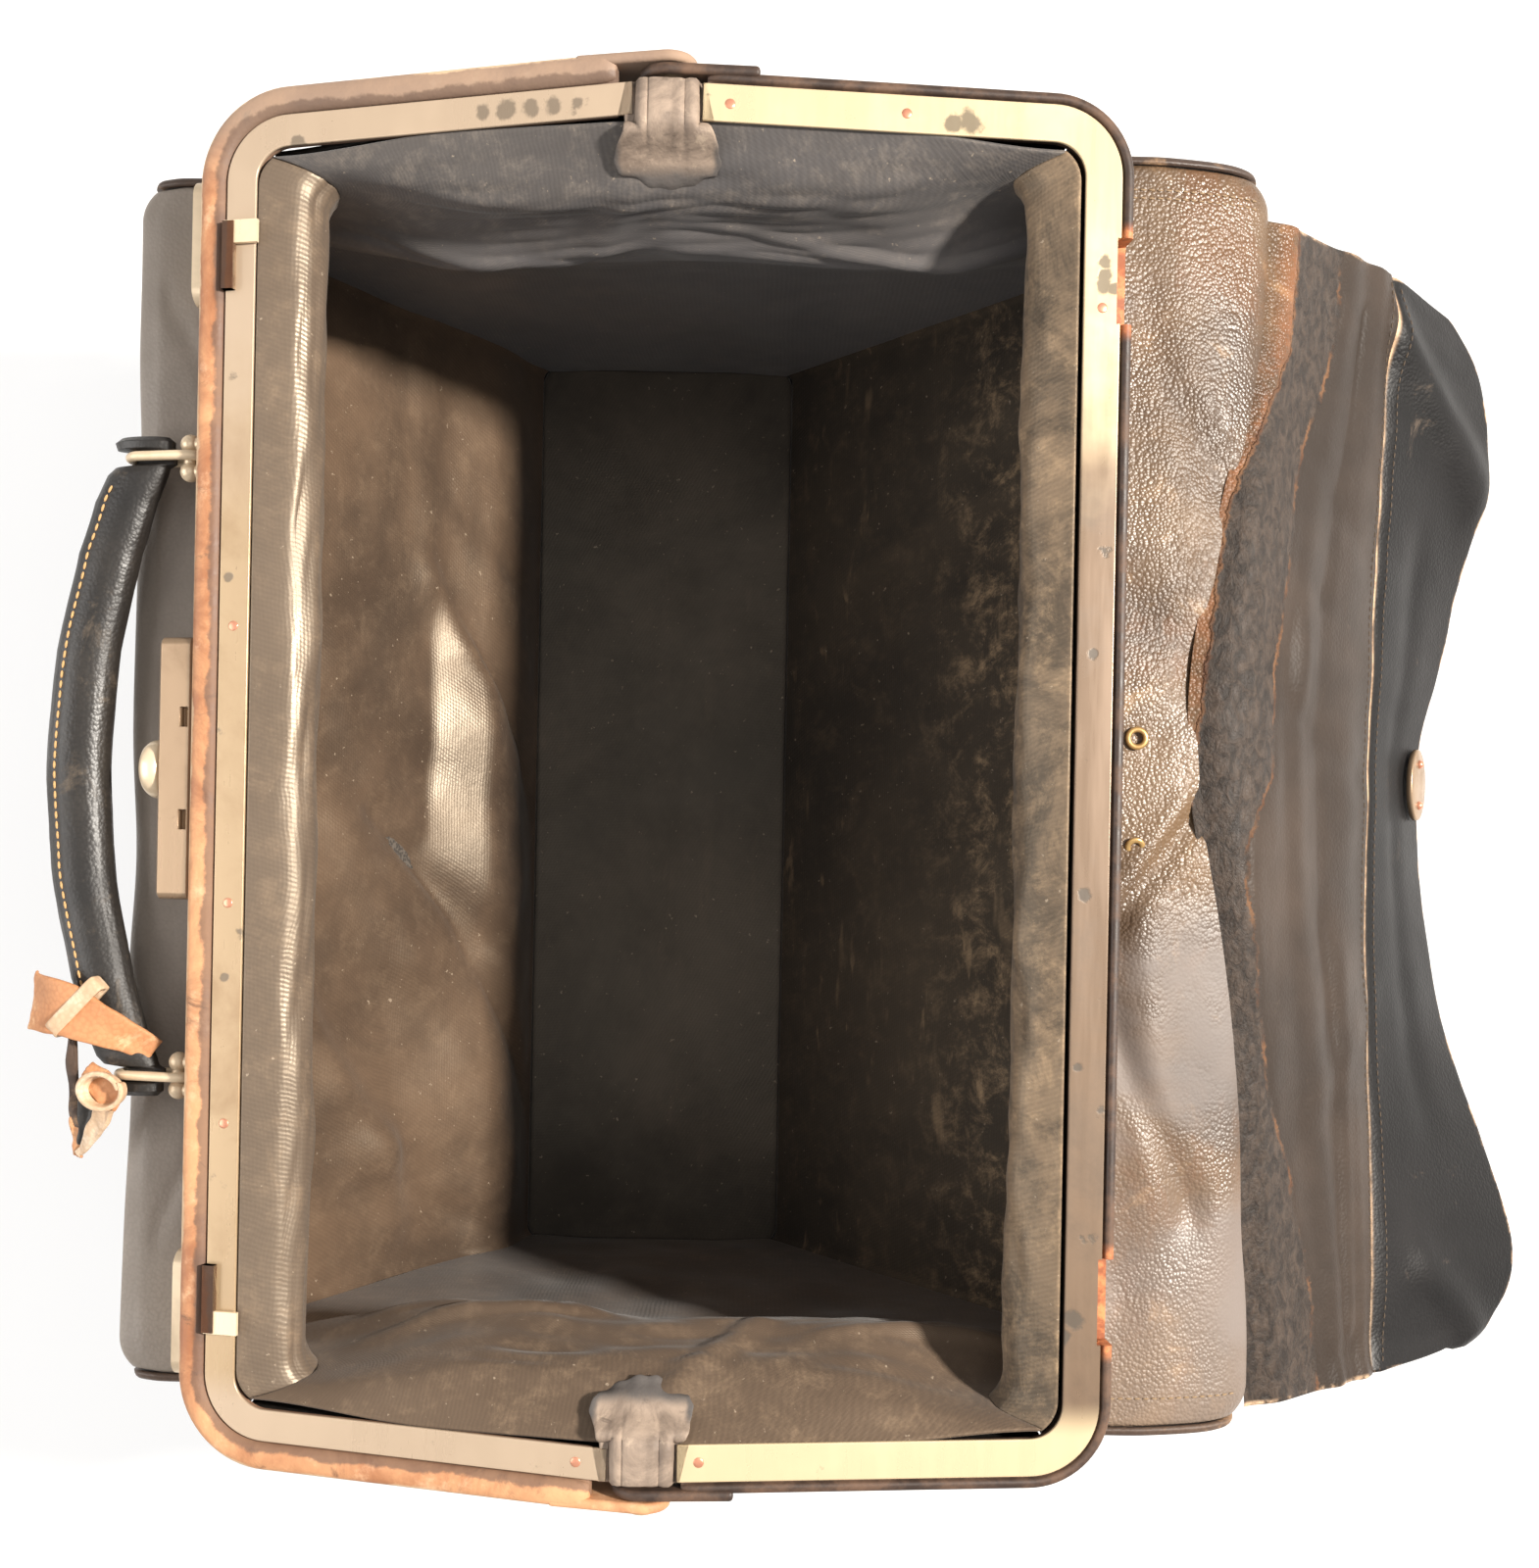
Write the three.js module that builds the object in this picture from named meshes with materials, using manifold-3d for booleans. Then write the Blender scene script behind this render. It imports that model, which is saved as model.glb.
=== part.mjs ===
// An old leather travel bag that stands open on its base.
// Its mouth is a metal frame of two U-shaped halves on two hinge rivets, laid open a little past flat.
// X runs across the bag: the handle and the lock are on the -X side, the outside flap on the +X side.
// Y runs along the bag, "left" is +Y. Z is up, and the base's underside is at zero. All sizes are in mm.

import * as THREE from "three";
import { mergeVertices } from "three/addons/utils/BufferGeometryUtils.js";
import Module from "manifold-3d";

// Driving dimensions

const GAP = 0.4; // kept between pieces that touch
const LEATHER = 2.2; // thickness of the outer leather
const CLOTH = 1.4; // thickness of the lining
const BASE = { halfWidth: 57, halfLength: 187, corner: 8, thickness: 3 };
const FLOOR = { halfWidth: 52.2, halfLength: 182.8, corner: 6, thickness: 1.6 };
const BOARD_CORNER_STEPS = 4;

// The mouth frame: both halves turn on the line x = 0 at this height, and their flat faces lie above it.
const HINGE_HEIGHT = 226;
const FACE_LIFT = 6;
const FRONT_HALF = {
  side: -1,
  droop: THREE.MathUtils.degToRad(11),
  reach: 141.5,
  halfAtHinge: 209,
  halfAtBar: 206.4,
  corner: 28,
  legStart: 14,
  stripStart: 9,
};
const BACK_HALF = {
  side: 1,
  droop: THREE.MathUtils.degToRad(3.5),
  reach: 135.6,
  halfAtHinge: 203.4,
  halfAtBar: 202,
  corner: 24,
  legStart: 11,
  stripStart: 9.5,
};
const WALL_DEPTH = 20; // height of the frame's outer wall
const WALL_THICK = 3;
const FLANGE_THICK = 2.4;
const FRONT_FLANGE = 17.6; // how far the front half's flange reaches in from its outer edge
const FRONT_RIM = 8.2; // width of the raised rim on the front half
const BACK_FLANGE = 14;
const BACK_RIM = 3.2;
// The rims' rounded tops: inwards from the frame's outer edge, and up from its flat face
const FRONT_RIM_TOP = [
  { inward: 0, up: 1.2 },
  { inward: 1.3, up: 2.6 },
  { inward: 4.2, up: 3.1 },
  { inward: 7, up: 2.4 },
  { inward: 8.2, up: 0.9 },
];
const BACK_RIM_TOP = [
  { inward: 0, up: 0.9 },
  { inward: 0.9, up: 1.7 },
  { inward: 2.6, up: 1.7 },
];
const STRIP_THICK = 1.2;
const STRIP_SLANT = 0.25; // how far a strip's end leans for each mm of its width
const STRIP_EDGE = 0.4; // the strips' worn upper edges
const ARC_STEPS = 3;
const CUT_PAST = 1; // how far a cut runs on past the face that it goes through
const FLANGE_CUT = { below: 6, above: 4 }; // how far a cut through the flange runs from its flat face

// Hinge ends: flat lobes on the legs, the front half's outside the back half's, with a rivet through both
const LOBE = { radius: 8.5, length: 26, thickness: 3.2, arcSteps: 6 };
const FRONT_LOBE_Y = 205.6;
const BACK_LOBE_Y = 202;
const RIVET = { shank: 2.4, head: 5, headHeight: 2, innerTop: 3.5, outerTop: 3, clearance: 0.4, sides: 12 };
const HINGE_TAB_HALF_WIDTH = 8.2;
const HINGE_TAB_ROWS = [
  { y: 201, z: 231.7 },
  { y: 192, z: 231.9 },
  { y: 186, z: 230.1 },
  { y: 180, z: 224.2 },
  { y: 175, z: 219.2 },
];

// Lock on the front bar's outer face: heights are measured from the frame's flat face
const LOCK = { centreY: 2.7, length: 79.5, top: 0.5, bottom: -18, depth: 10.7, corner: 2.5, bevel: 0.7 };
const LOCK_PRONG_SLOT = { offset: 15.5, length: 6, width: 2.6, depth: 3, fromFace: 1 };
const BUTTON = { neck: 2.4, neckDepth: 3, travel: 7, height: -9, sides: 16 };
const BUTTON_HEAD = [
  { radius: 6.8, out: 0.4 },
  { radius: 8, out: 1.8 },
  { radius: 7.6, out: 4.2 },
  { radius: 5.6, out: 5.7 },
  { radius: 0, out: 6 },
];

// Side catches: a thumb plate outside, joined through the frame to a hook that lies on the strip
const CATCH_Y = 163;
const CATCH_TRAVEL = 14;
const CATCH_PLATE = { length: 38, top: -2, bottom: -16, depth: 3.8, corner: 5, inset: 2 };
const CATCH_NECK = { width: 5, top: -4.6, bottom: -7.6 };
const CATCH_POST = { near: 8.8, far: 11.6, width: 5.4 };
const CATCH_HOOK = { far: 19.4, width: 6.8, bottom: 2.2, thickness: 1.3 };
const KEEPER = { y: 148, length: 25, depth: 4.8 };

// Handle: a staple with a bar along Y, a ring round the bar, and the rolled leather grip
const HANDLE_Y = 95; // from the handle's middle to each ring
const HANDLE_MIDDLE_Y = 3.5;
const STAPLE = { standOff: 6.9, barRadius: 2, barHalf: 5, ball: 3.1, postFoot: 2.6, height: -9 };
const STAPLE_SIDES = { bar: 8, ball: 8, ballRings: 6, post: 6 };
const RING = { bend: 5, straight: 12, wire: 1.5, sides: 6, bendSteps: 6 };
const GRIP_SIDES = 10;
const GRIP_ROWS = [
  { y: 100, out: 13, wide: 5.5, tall: 4.6 },
  { y: 98, out: 13, wide: 6.4, tall: 5.6 },
  { y: 96.8, out: 10.8, wide: 3.4, tall: 2.4 },
  { y: 93.2, out: 10.8, wide: 3.4, tall: 2.4 },
  { y: 91, out: 16.5, wide: 6.2, tall: 5 },
  { y: 84, out: 21.5, wide: 7, tall: 5.9 },
  { y: 66, out: 28.2, wide: 8.6, tall: 7 },
  { y: 36, out: 34.2, wide: 9.8, tall: 7.6 },
  { y: 0, out: 36, wide: 10.2, tall: 7.8 },
];

// Torn tan strap on the right-hand ring, in the handle's own plane: out from the ring bar, along Y, and up
const STRAP_THICK = 1.8;
const STRAP_BAND = {
  halfWidth: 6.5,
  rows: [
    { out: 50.5, y: -70, up: 4.5 },
    { out: 43, y: -73, up: 9 },
    { out: 34, y: -77, up: 11 },
    { out: 25, y: -81.5, up: 9.8 },
    { out: 18, y: -84.6, up: 8.9 },
  ],
};
const STRAP_TAIL = {
  halfWidth: 5.5,
  rows: [
    { out: 20, y: -99.5, up: 8.2 },
    { out: 27, y: -105, up: 4 },
    { out: 34, y: -112, up: 0.5 },
    { out: 43, y: -121, up: -3.5 },
  ],
};
const STRAP_KEEPER = { halfWidth: 3.2, atRow: 1, clearance: 0.9, thickness: 1.4 };

// Outer leather, one row for each level from the base to the frame. Each side's profile has a place (X) and a
// height (Z), the half-length of its ends (EndY) and the radius of its corners (Round). endY and endZ are the
// middle of the end walls, which fold inwards under the frame, and sag is how late an end wall climbs from its
// corners to that middle (1 is a straight line).
const BODY_ROWS = [
  {
    level: "base", frontX: -57, frontZ: 3.4, frontEndY: 187, frontRound: 8,
    backX: 57, backZ: 3.4, backEndY: 187, backRound: 8, endY: 187, endZ: 3.4, sag: 1,
  },
  {
    level: "lower", frontX: -93, frontZ: 60, frontEndY: 187.3, frontRound: 8,
    backX: 99, backZ: 62, backEndY: 187.5, backRound: 8, endY: 187.6, endZ: 61, sag: 1,
  },
  {
    level: "middle", frontX: -130, frontZ: 120, frontEndY: 187.6, frontRound: 9,
    backX: 145, backZ: 125, backEndY: 188.5, backRound: 9, endY: 188, endZ: 122, sag: 1.2,
  },
  {
    level: "upper", frontX: -156, frontZ: 160, frontEndY: 188, frontRound: 10,
    backX: 177, backZ: 165, backEndY: 191, backRound: 10, endY: 185, endZ: 162, sag: 1.6,
  },
  {
    level: "bulge", frontX: -167, frontZ: 176.5, frontEndY: 189, frontRound: 12,
    backX: 189, backZ: 183, backEndY: 194, backRound: 12, endY: 179, endZ: 184, sag: 2,
  },
  {
    level: "shoulder", frontX: -161, frontZ: 182.2, frontEndY: 189.3, frontRound: 13,
    backX: 182, backZ: 192.2, backEndY: 195.3, backRound: 13, endY: 181, endZ: 197, sag: 2,
  },
  {
    level: "roof", frontX: -149, frontZ: 183, frontEndY: 189.6, frontRound: 14,
    backX: 160, backZ: 197.8, backEndY: 195.6, backRound: 14, endY: 187, endZ: 206, sag: 2,
  },
  {
    level: "tuck", frontX: -138, frontZ: 183.4, frontEndY: 190.5, frontRound: 16,
    backX: 139, backZ: 199.2, backEndY: 195.8, backRound: 16, endY: 191.5, endZ: 213, sag: 2,
  },
  {
    level: "stand", frontX: -130.2, frontZ: 187, frontEndY: 194, frontRound: 18,
    backX: 128.6, backZ: 204.6, backEndY: 196, backRound: 18, endY: 194.5, endZ: 220, sag: 1.5,
  },
  {
    level: "top", frontX: -129.5, frontZ: 197.5, frontEndY: 196, frontRound: 18,
    backX: 127.5, backZ: 218, backEndY: 196, backRound: 18, endY: 196.5, endZ: 228, sag: 1,
  },
];

// Lining, from the floor up the walls, back in under the frame, and up over a soft roll to the strips
const LINING_ROWS = [
  {
    level: "floor", frontX: -53, frontZ: 5.8, frontEndY: 183.6, frontRound: 6,
    backX: 53, backZ: 5.8, backEndY: 183.6, backRound: 6, endY: 183.6, endZ: 5.8, sag: 1,
  },
  {
    level: "lower", frontX: -89, frontZ: 60, frontEndY: 184, frontRound: 6,
    backX: 95, backZ: 62, backEndY: 184.2, backRound: 6, endY: 184, endZ: 61, sag: 1,
  },
  {
    level: "middle", frontX: -125.6, frontZ: 120, frontEndY: 184.2, frontRound: 6,
    backX: 140.6, backZ: 125, backEndY: 184.6, backRound: 6, endY: 183.6, endZ: 122, sag: 1.2,
  },
  {
    level: "upper", frontX: -146, frontZ: 152, frontEndY: 183.6, frontRound: 7,
    backX: 168, backZ: 159, backEndY: 184.6, backRound: 7, endY: 179, endZ: 156, sag: 1.6,
  },
  {
    level: "turn", frontX: -151, frontZ: 166, frontEndY: 182.4, frontRound: 9,
    backX: 176, backZ: 174, backEndY: 184.4, backRound: 9, endY: 172, endZ: 176, sag: 2,
  },
  {
    level: "under", frontX: -138, frontZ: 173, frontEndY: 181, frontRound: 10,
    backX: 166, backZ: 184, backEndY: 183.4, backRound: 10, endY: 167.5, endZ: 188, sag: 2,
  },
  {
    level: "waist", frontX: -117, frontZ: 182, frontEndY: 181, frontRound: 11,
    backX: 140, backZ: 190.5, backEndY: 183, backRound: 11, endY: 166.5, endZ: 198, sag: 1.7,
  },
  {
    level: "roll", frontX: -106, frontZ: 197, frontEndY: 182.4, frontRound: 11,
    backX: 115, backZ: 203, backEndY: 183.4, backRound: 11, endY: 169.5, endZ: 207, sag: 1.3,
  },
  {
    level: "crown", frontX: -110.5, frontZ: 206.4, frontEndY: 184.6, frontRound: 11,
    backX: 109.5, backZ: 215, backEndY: 184.8, backRound: 11, endY: 176, endZ: 216, sag: 1,
  },
  {
    level: "edge", frontX: -120.6, frontZ: 207.4, frontEndY: 187, frontRound: 11,
    backX: 120, backZ: 222, backEndY: 187, backRound: 11, endY: 187, endZ: 227, sag: 1,
  },
];

// Folds that stand into the bag: where along the wall (mm), at which share of its height, how wide, how deep
const LINING_FOLDS = {
  front: [
    { along: 62, level: 0.12, width: 34, span: 0.07, depth: 8 },
    { along: -20, level: 0.08, width: 40, span: 0.05, depth: 7 },
    { along: -72, level: 0.15, width: 30, span: 0.07, depth: 7 },
    { along: 130, level: 0.1, width: 30, span: 0.06, depth: 4 },
  ],
  back: [
    { along: 40, level: 0.2, width: 70, span: 0.1, depth: 4 },
    { along: -110, level: 0.14, width: 50, span: 0.08, depth: 4 },
  ],
  left: [
    { along: -70, level: 0.62, width: 34, span: 0.09, depth: 5 },
    { along: 72, level: 0.6, width: 40, span: 0.09, depth: 6 },
  ],
  right: [
    { along: -52, level: 0.6, width: 38, span: 0.1, depth: 8 },
    { along: 50, level: 0.64, width: 46, span: 0.08, depth: 4 },
  ],
};
const NO_FOLDS = [];
const PANEL_WRAP = THREE.MathUtils.degToRad(55); // how far a long side turns round the corner
const WRAP_SHARE = 0.12; // share of a long side's grid that lies in each corner
const WRAP_STEPS = 2;
const PANEL_STEPS = 8;
const GUSSET_STEPS = 8;
const LINING_END_STEPS = 10;
const BODY_LEVELS = 13;
const LINING_LEVELS = 14;
const END_BLEND = 0.5; // share of an end wall over which its fold fades towards each corner
const SEAM_ROOM = 1.3; // how far an end wall's edge stays clear of the long side's thickness

// Corner seams
const WELT = { halfWidth: 1.9, height: 2.6, edgeHeight: 1.6, inset: 1.4, from: 0.02, to: 0.76, steps: 12 };

// Outside flap: sewn on along the back's shoulder, it stands out stiffly in two flats with a crease between.
// The shoulder's points are on the flap's underside. Each row gives, at one place along the bag, the share of
// the shoulder that stays bare, the crease and the free edge.
const FLAP_SHOULDER = [
  { x: 160, z: 199.2 },
  { x: 172, z: 197 },
  { x: 182.6, z: 193.4 },
  { x: 190.6, z: 186.8 },
];
const FLAP_HANG = 0.25; // share of the way to the crease where the flap is straight
const FLAP_ROWS = [
  { y: 181, bare: 0.86, creaseX: 245, creaseZ: 141, lipY: 172, lipX: 290, lipZ: 103 },
  { y: 135, bare: 0.66, creaseX: 245, creaseZ: 137, lipY: 133, lipX: 298, lipZ: 99 },
  { y: 70, bare: 0.24, creaseX: 245, creaseZ: 132, lipY: 70, lipX: 289, lipZ: 93 },
  { y: 10, bare: 0.12, creaseX: 245, creaseZ: 129, lipY: 10, lipX: 279, lipZ: 88 },
  { y: -75, bare: 0.5, creaseX: 244.5, creaseZ: 133, lipY: -75, lipX: 288, lipZ: 93 },
  { y: -150, bare: 0.8, creaseX: 243, creaseZ: 144, lipY: -148, lipX: 308, lipZ: 106 },
  { y: -190, bare: 0.95, creaseX: 241, creaseZ: 150, lipY: -185, lipX: 302, lipZ: 112 },
];
const FLAP_CREASE = 0.75; // the share of the flap's grid that lies above the crease
const FLAP_CORNER = 24;
const FLAP_STEPS = 18;
const FLAP_BEND_STEPS = 7;
const FLAP_FREE_STEPS = 3;
const FLAP_PLATE = { halfLength: 13, halfWidth: 8.5, thickness: 2, fromEdge: 9, standOff: 1.4, arcSteps: 10 };
const FLAP_PIN = { radius: 1.6, spacing: 15, sides: 8, rings: 6 };
const POCKET = { from: 0.15, to: 0.34, halfLength: 165, thickness: 1.8, alongSteps: 2, steps: 6 };

// Finishes

const FINISHES = {
  leather: { color: 0x2b2825, roughness: 0.55, metalness: 0 },
  smoothLeather: { color: 0x3d3b36, roughness: 0.6, metalness: 0 },
  wornLeather: { color: 0x3a3028, roughness: 0.4, metalness: 0 },
  lining: { color: 0x4a3e33, roughness: 0.6, metalness: 0 },
  rustedFrame: { color: 0x8a5a3c, roughness: 0.85, metalness: 0.2 },
  plated: { color: 0xcabd9c, roughness: 0.35, metalness: 0.9 },
  handle: { color: 0x17161a, roughness: 0.4, metalness: 0 },
  tanLeather: { color: 0xb06a38, roughness: 0.7, metalness: 0 },
};

function finish(name) {
  return new THREE.MeshStandardMaterial(FINISHES[name]);
}

// Solids: closed meshes, joins and cuts

const SAME_POINT = 1e-4; // points closer than this are one point
const PROBE = 1e-3; // step for measuring a surface's direction
const wasm = await Module();
wasm.setup();

function toSolid(geometry) {
  const bare = new THREE.BufferGeometry().setAttribute("position", geometry.getAttribute("position").clone());
  if (geometry.index) bare.setIndex(geometry.index.clone());
  const merged = mergeVertices(bare, SAME_POINT);
  return new wasm.Manifold(
    new wasm.Mesh({
      numProp: 3,
      vertProperties: merged.attributes.position.array,
      triVerts: new Uint32Array(merged.index.array),
    }),
  );
}

function toGeometry(solid) {
  const mesh = solid.getMesh();
  const geometry = new THREE.BufferGeometry();
  geometry.setAttribute("position", new THREE.BufferAttribute(new Float32Array(mesh.vertProperties), 3));
  geometry.setIndex(new THREE.BufferAttribute(new Uint32Array(mesh.triVerts), 1));
  geometry.computeVertexNormals();
  return geometry;
}

function joined(geometries) {
  return geometries.map(toSolid).reduce((whole, piece) => whole.add(piece));
}

function cutBy(solid, geometries) {
  return geometries.map(toSolid).reduce((whole, piece) => whole.subtract(piece), solid);
}

// A geometry from points and triangles, turned so that its faces point outwards.
function closedGeometry(points, triangles) {
  let volume = 0;
  for (const [a, b, c] of triangles) {
    volume += points[a].dot(new THREE.Vector3().crossVectors(points[b], points[c]));
  }
  const outward = volume > 0 ? triangles : triangles.map(([a, b, c]) => [a, c, b]);
  const geometry = new THREE.BufferGeometry().setFromPoints(points);
  geometry.setIndex(outward.flat());
  geometry.computeVertexNormals();
  return geometry;
}

// A sheet between two grids of points, closed round its four edges.
function sheetBetween(faceA, faceB) {
  const rows = faceA.length;
  const columns = faceA[0].length;
  const points = [...faceA.flat(), ...faceB.flat()];
  const a = (i, j) => i * columns + j;
  const b = (i, j) => rows * columns + i * columns + j;
  const triangles = [];
  const quad = (p, q, r, s) => triangles.push([p, q, r], [p, r, s]);
  for (let i = 0; i + 1 < rows; i++) {
    for (let j = 0; j + 1 < columns; j++) {
      quad(a(i, j), a(i + 1, j), a(i + 1, j + 1), a(i, j + 1));
      quad(b(i, j), b(i, j + 1), b(i + 1, j + 1), b(i + 1, j));
    }
  }
  for (let i = 0; i + 1 < rows; i++) {
    quad(a(i, 0), b(i, 0), b(i + 1, 0), a(i + 1, 0));
    quad(a(i, columns - 1), a(i + 1, columns - 1), b(i + 1, columns - 1), b(i, columns - 1));
  }
  for (let j = 0; j + 1 < columns; j++) {
    quad(a(0, j), a(0, j + 1), b(0, j + 1), b(0, j));
    quad(a(rows - 1, j), b(rows - 1, j), b(rows - 1, j + 1), a(rows - 1, j + 1));
  }
  return closedGeometry(points, triangles);
}

// A sheet of even thickness on a surface point(u, v). Distances run along the surface's normal.
function sheetOn(point, us, vs, near, far) {
  const normal = (u, v) => {
    const alongU = point(Math.min(u + PROBE, 1), v).sub(point(Math.max(u - PROBE, 0), v));
    const alongV = point(u, Math.min(v + PROBE, 1)).sub(point(u, Math.max(v - PROBE, 0)));
    return alongU.cross(alongV).normalize();
  };
  const face = (offset) =>
    us.map((u) => vs.map((v) => point(u, v).addScaledVector(normal(u, v), offset)));
  return sheetBetween(face(near), face(far));
}

// A section carried along stations, each with its place and the two directions that the section is drawn in.
function sweep(stations, sectionAt, closed = false) {
  const sections = stations.map((station, i) => sectionAt(i));
  const sides = sections[0].length;
  const points = stations.flatMap((station, i) =>
    sections[i].map(([p, q]) =>
      station.at.clone().addScaledVector(station.across, p).addScaledVector(station.up, q),
    ),
  );
  const triangles = [];
  const last = closed ? stations.length : stations.length - 1;
  for (let i = 0; i < last; i++) {
    const here = i * sides;
    const next = ((i + 1) % stations.length) * sides;
    for (let k = 0; k < sides; k++) {
      const after = (k + 1) % sides;
      triangles.push([here + k, here + after, next + after], [here + k, next + after, next + k]);
    }
  }
  if (!closed) {
    const outline = sections[0].map(([p, q]) => new THREE.Vector2(p, q));
    const lid = THREE.ShapeUtils.triangulateShape(outline, []);
    const turned = THREE.ShapeUtils.isClockWise(outline);
    const end = (stations.length - 1) * sides;
    for (const [p, q, r] of lid) {
      const [s, t] = turned ? [r, q] : [q, r];
      triangles.push([p, t, s], [end + p, end + s, end + t]);
    }
  }
  return closedGeometry(points, triangles);
}

function box(x0, x1, y0, y1, z0, z1) {
  const geometry = new THREE.BoxGeometry(x1 - x0, y1 - y0, z1 - z0);
  return geometry.translate((x0 + x1) / 2, (y0 + y1) / 2, (z0 + z1) / 2);
}

function roundedRectangle(halfX, halfY, corner) {
  const shape = new THREE.Shape();
  shape.absarc(halfX - corner, halfY - corner, corner, 0, Math.PI / 2);
  shape.absarc(corner - halfX, halfY - corner, corner, Math.PI / 2, Math.PI);
  shape.absarc(corner - halfX, corner - halfY, corner, Math.PI, 1.5 * Math.PI);
  shape.absarc(halfX - corner, corner - halfY, corner, 1.5 * Math.PI, 2 * Math.PI);
  return shape;
}

// A plate whose shape is drawn in Y and Z and whose thickness runs along +X from zero.
function plateAcrossX(shape, depth, bevel = 0) {
  const geometry = new THREE.ExtrudeGeometry(shape, {
    depth: depth - 2 * bevel,
    bevelEnabled: bevel > 0,
    bevelSize: bevel,
    bevelThickness: bevel,
    bevelOffset: -bevel,
    bevelSegments: 1,
    curveSegments: ARC_STEPS,
  });
  const turn = new THREE.Matrix4().makeBasis(
    new THREE.Vector3(0, 1, 0),
    new THREE.Vector3(0, 0, 1),
    new THREE.Vector3(1, 0, 0),
  );
  return geometry.translate(0, 0, bevel).applyMatrix4(turn);
}

function steps(count, from = 0, to = 1) {
  return Array.from({ length: count + 1 }, (_, i) => from + ((to - from) * i) / count);
}

// A column of a table as a smooth curve: column("frontX")(0.5) is its value half way down the rows.
function columns(rows) {
  const curves = new Map();
  return (name) => {
    if (!curves.has(name)) {
      const places = rows.map((row, i) => new THREE.Vector2(i, row[name]));
      curves.set(name, new THREE.SplineCurve(places));
    }
    return (t) => curves.get(name).getPoint(t).y;
  };
}

// The bag's walls

function foldDepth(folds, along, level) {
  let depth = 0;
  for (const fold of folds) {
    const y = (along - fold.along) / fold.width;
    const t = (level - fold.level) / fold.span;
    depth += fold.depth * Math.exp(-y * y - t * t);
  }
  return depth;
}

// A long side: u runs along Y and wraps a little way round both corners, t climbs from the base.
function longSide(rows, side, folds) {
  const column = columns(rows);
  const name = side < 0 ? "front" : "back";
  const [place, height] = [column(name + "X"), column(name + "Z")];
  const [end, round] = [column(name + "EndY"), column(name + "Round")];
  return (u, t) => {
    const inner = (u - WRAP_SHARE) / (1 - 2 * WRAP_SHARE);
    const flat = THREE.MathUtils.clamp(inner, 0, 1) * 2 - 1;
    const beyond = Math.max(WRAP_SHARE - u, u - (1 - WRAP_SHARE), 0) / WRAP_SHARE;
    const turn = beyond * PANEL_WRAP;
    const y = flat * (end(t) - round(t)) + Math.sign(flat) * round(t) * Math.sin(turn);
    const inward = round(t) * (1 - Math.cos(turn)) + foldDepth(folds, y, t);
    return new THREE.Vector3(place(t) - side * inward, y, height(t));
  };
}

const LONG_SIDE_GRID = [
  ...steps(WRAP_STEPS, 0, WRAP_SHARE),
  ...steps(PANEL_STEPS, WRAP_SHARE, 1 - WRAP_SHARE).slice(1),
  ...steps(WRAP_STEPS, 1 - WRAP_SHARE, 1).slice(1),
];

// Where a long side stops at a corner, at level t.
function cornerEdge(column, side, t) {
  const name = side < 0 ? "front" : "back";
  const round = column(name + "Round")(t);
  return {
    x: column(name + "X")(t) - side * round * (1 - Math.cos(PANEL_WRAP)),
    y: column(name + "EndY")(t) - round * (1 - Math.sin(PANEL_WRAP)),
    z: column(name + "Z")(t),
  };
}

// The end wall's edge beside that: moved off the seam, at right angles to it and towards the wall's middle.
function endWallEdge(column, side, t, inset) {
  const edge = cornerEdge(column, side, t);
  const before = cornerEdge(column, side, Math.max(t - PROBE, 0));
  const after = cornerEdge(column, side, Math.min(t + PROBE, 1));
  const seam = new THREE.Vector2(after.x - before.x, after.z - before.z).normalize();
  return { x: edge.x - side * inset * seam.y, y: edge.y, z: edge.z + side * inset * seam.x };
}

// An end wall: u runs from the front to the back, t climbs from the base.
function endWall(rows, end, folds, thickness) {
  const column = columns(rows);
  const inset = thickness + SEAM_ROOM;
  const [middleY, middleZ, sag] = [column("endY"), column("endZ"), column("sag")];
  return (u, t) => {
    const front = endWallEdge(column, -1, t, inset);
    const back = endWallEdge(column, 1, t, inset);
    const across = u * 2 - 1;
    const x = THREE.MathUtils.lerp(front.x, back.x, u);
    const corner = x < 0 ? front : back;
    const fade = THREE.MathUtils.smoothstep(1 - Math.abs(across), 0, END_BLEND);
    const cornerY = THREE.MathUtils.lerp(front.y, back.y, u);
    const y = THREE.MathUtils.lerp(cornerY, middleY(t), fade) - foldDepth(folds, x, t) * fade;
    const climb = Math.pow(Math.max(1 - x / corner.x, 0), sag(t));
    const z = THREE.MathUtils.lerp(corner.z, middleZ(t), climb);
    return new THREE.Vector3(x, end * y, z);
  };
}

// Sheets: the normal of a long side's grid points to +X and that of an end wall's to -Y, so the side's sign
// turns "inwards" into the right direction.
function longSideSheet(rows, side, folds, levels, thickness) {
  return sheetOn(longSide(rows, side, folds), LONG_SIDE_GRID, steps(levels), 0, -side * thickness);
}

function endWallSheet(rows, end, folds, across, levels, thickness) {
  const wall = endWall(rows, end, folds, thickness);
  return sheetOn(wall, steps(across), steps(levels), 0, end * thickness);
}

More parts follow.
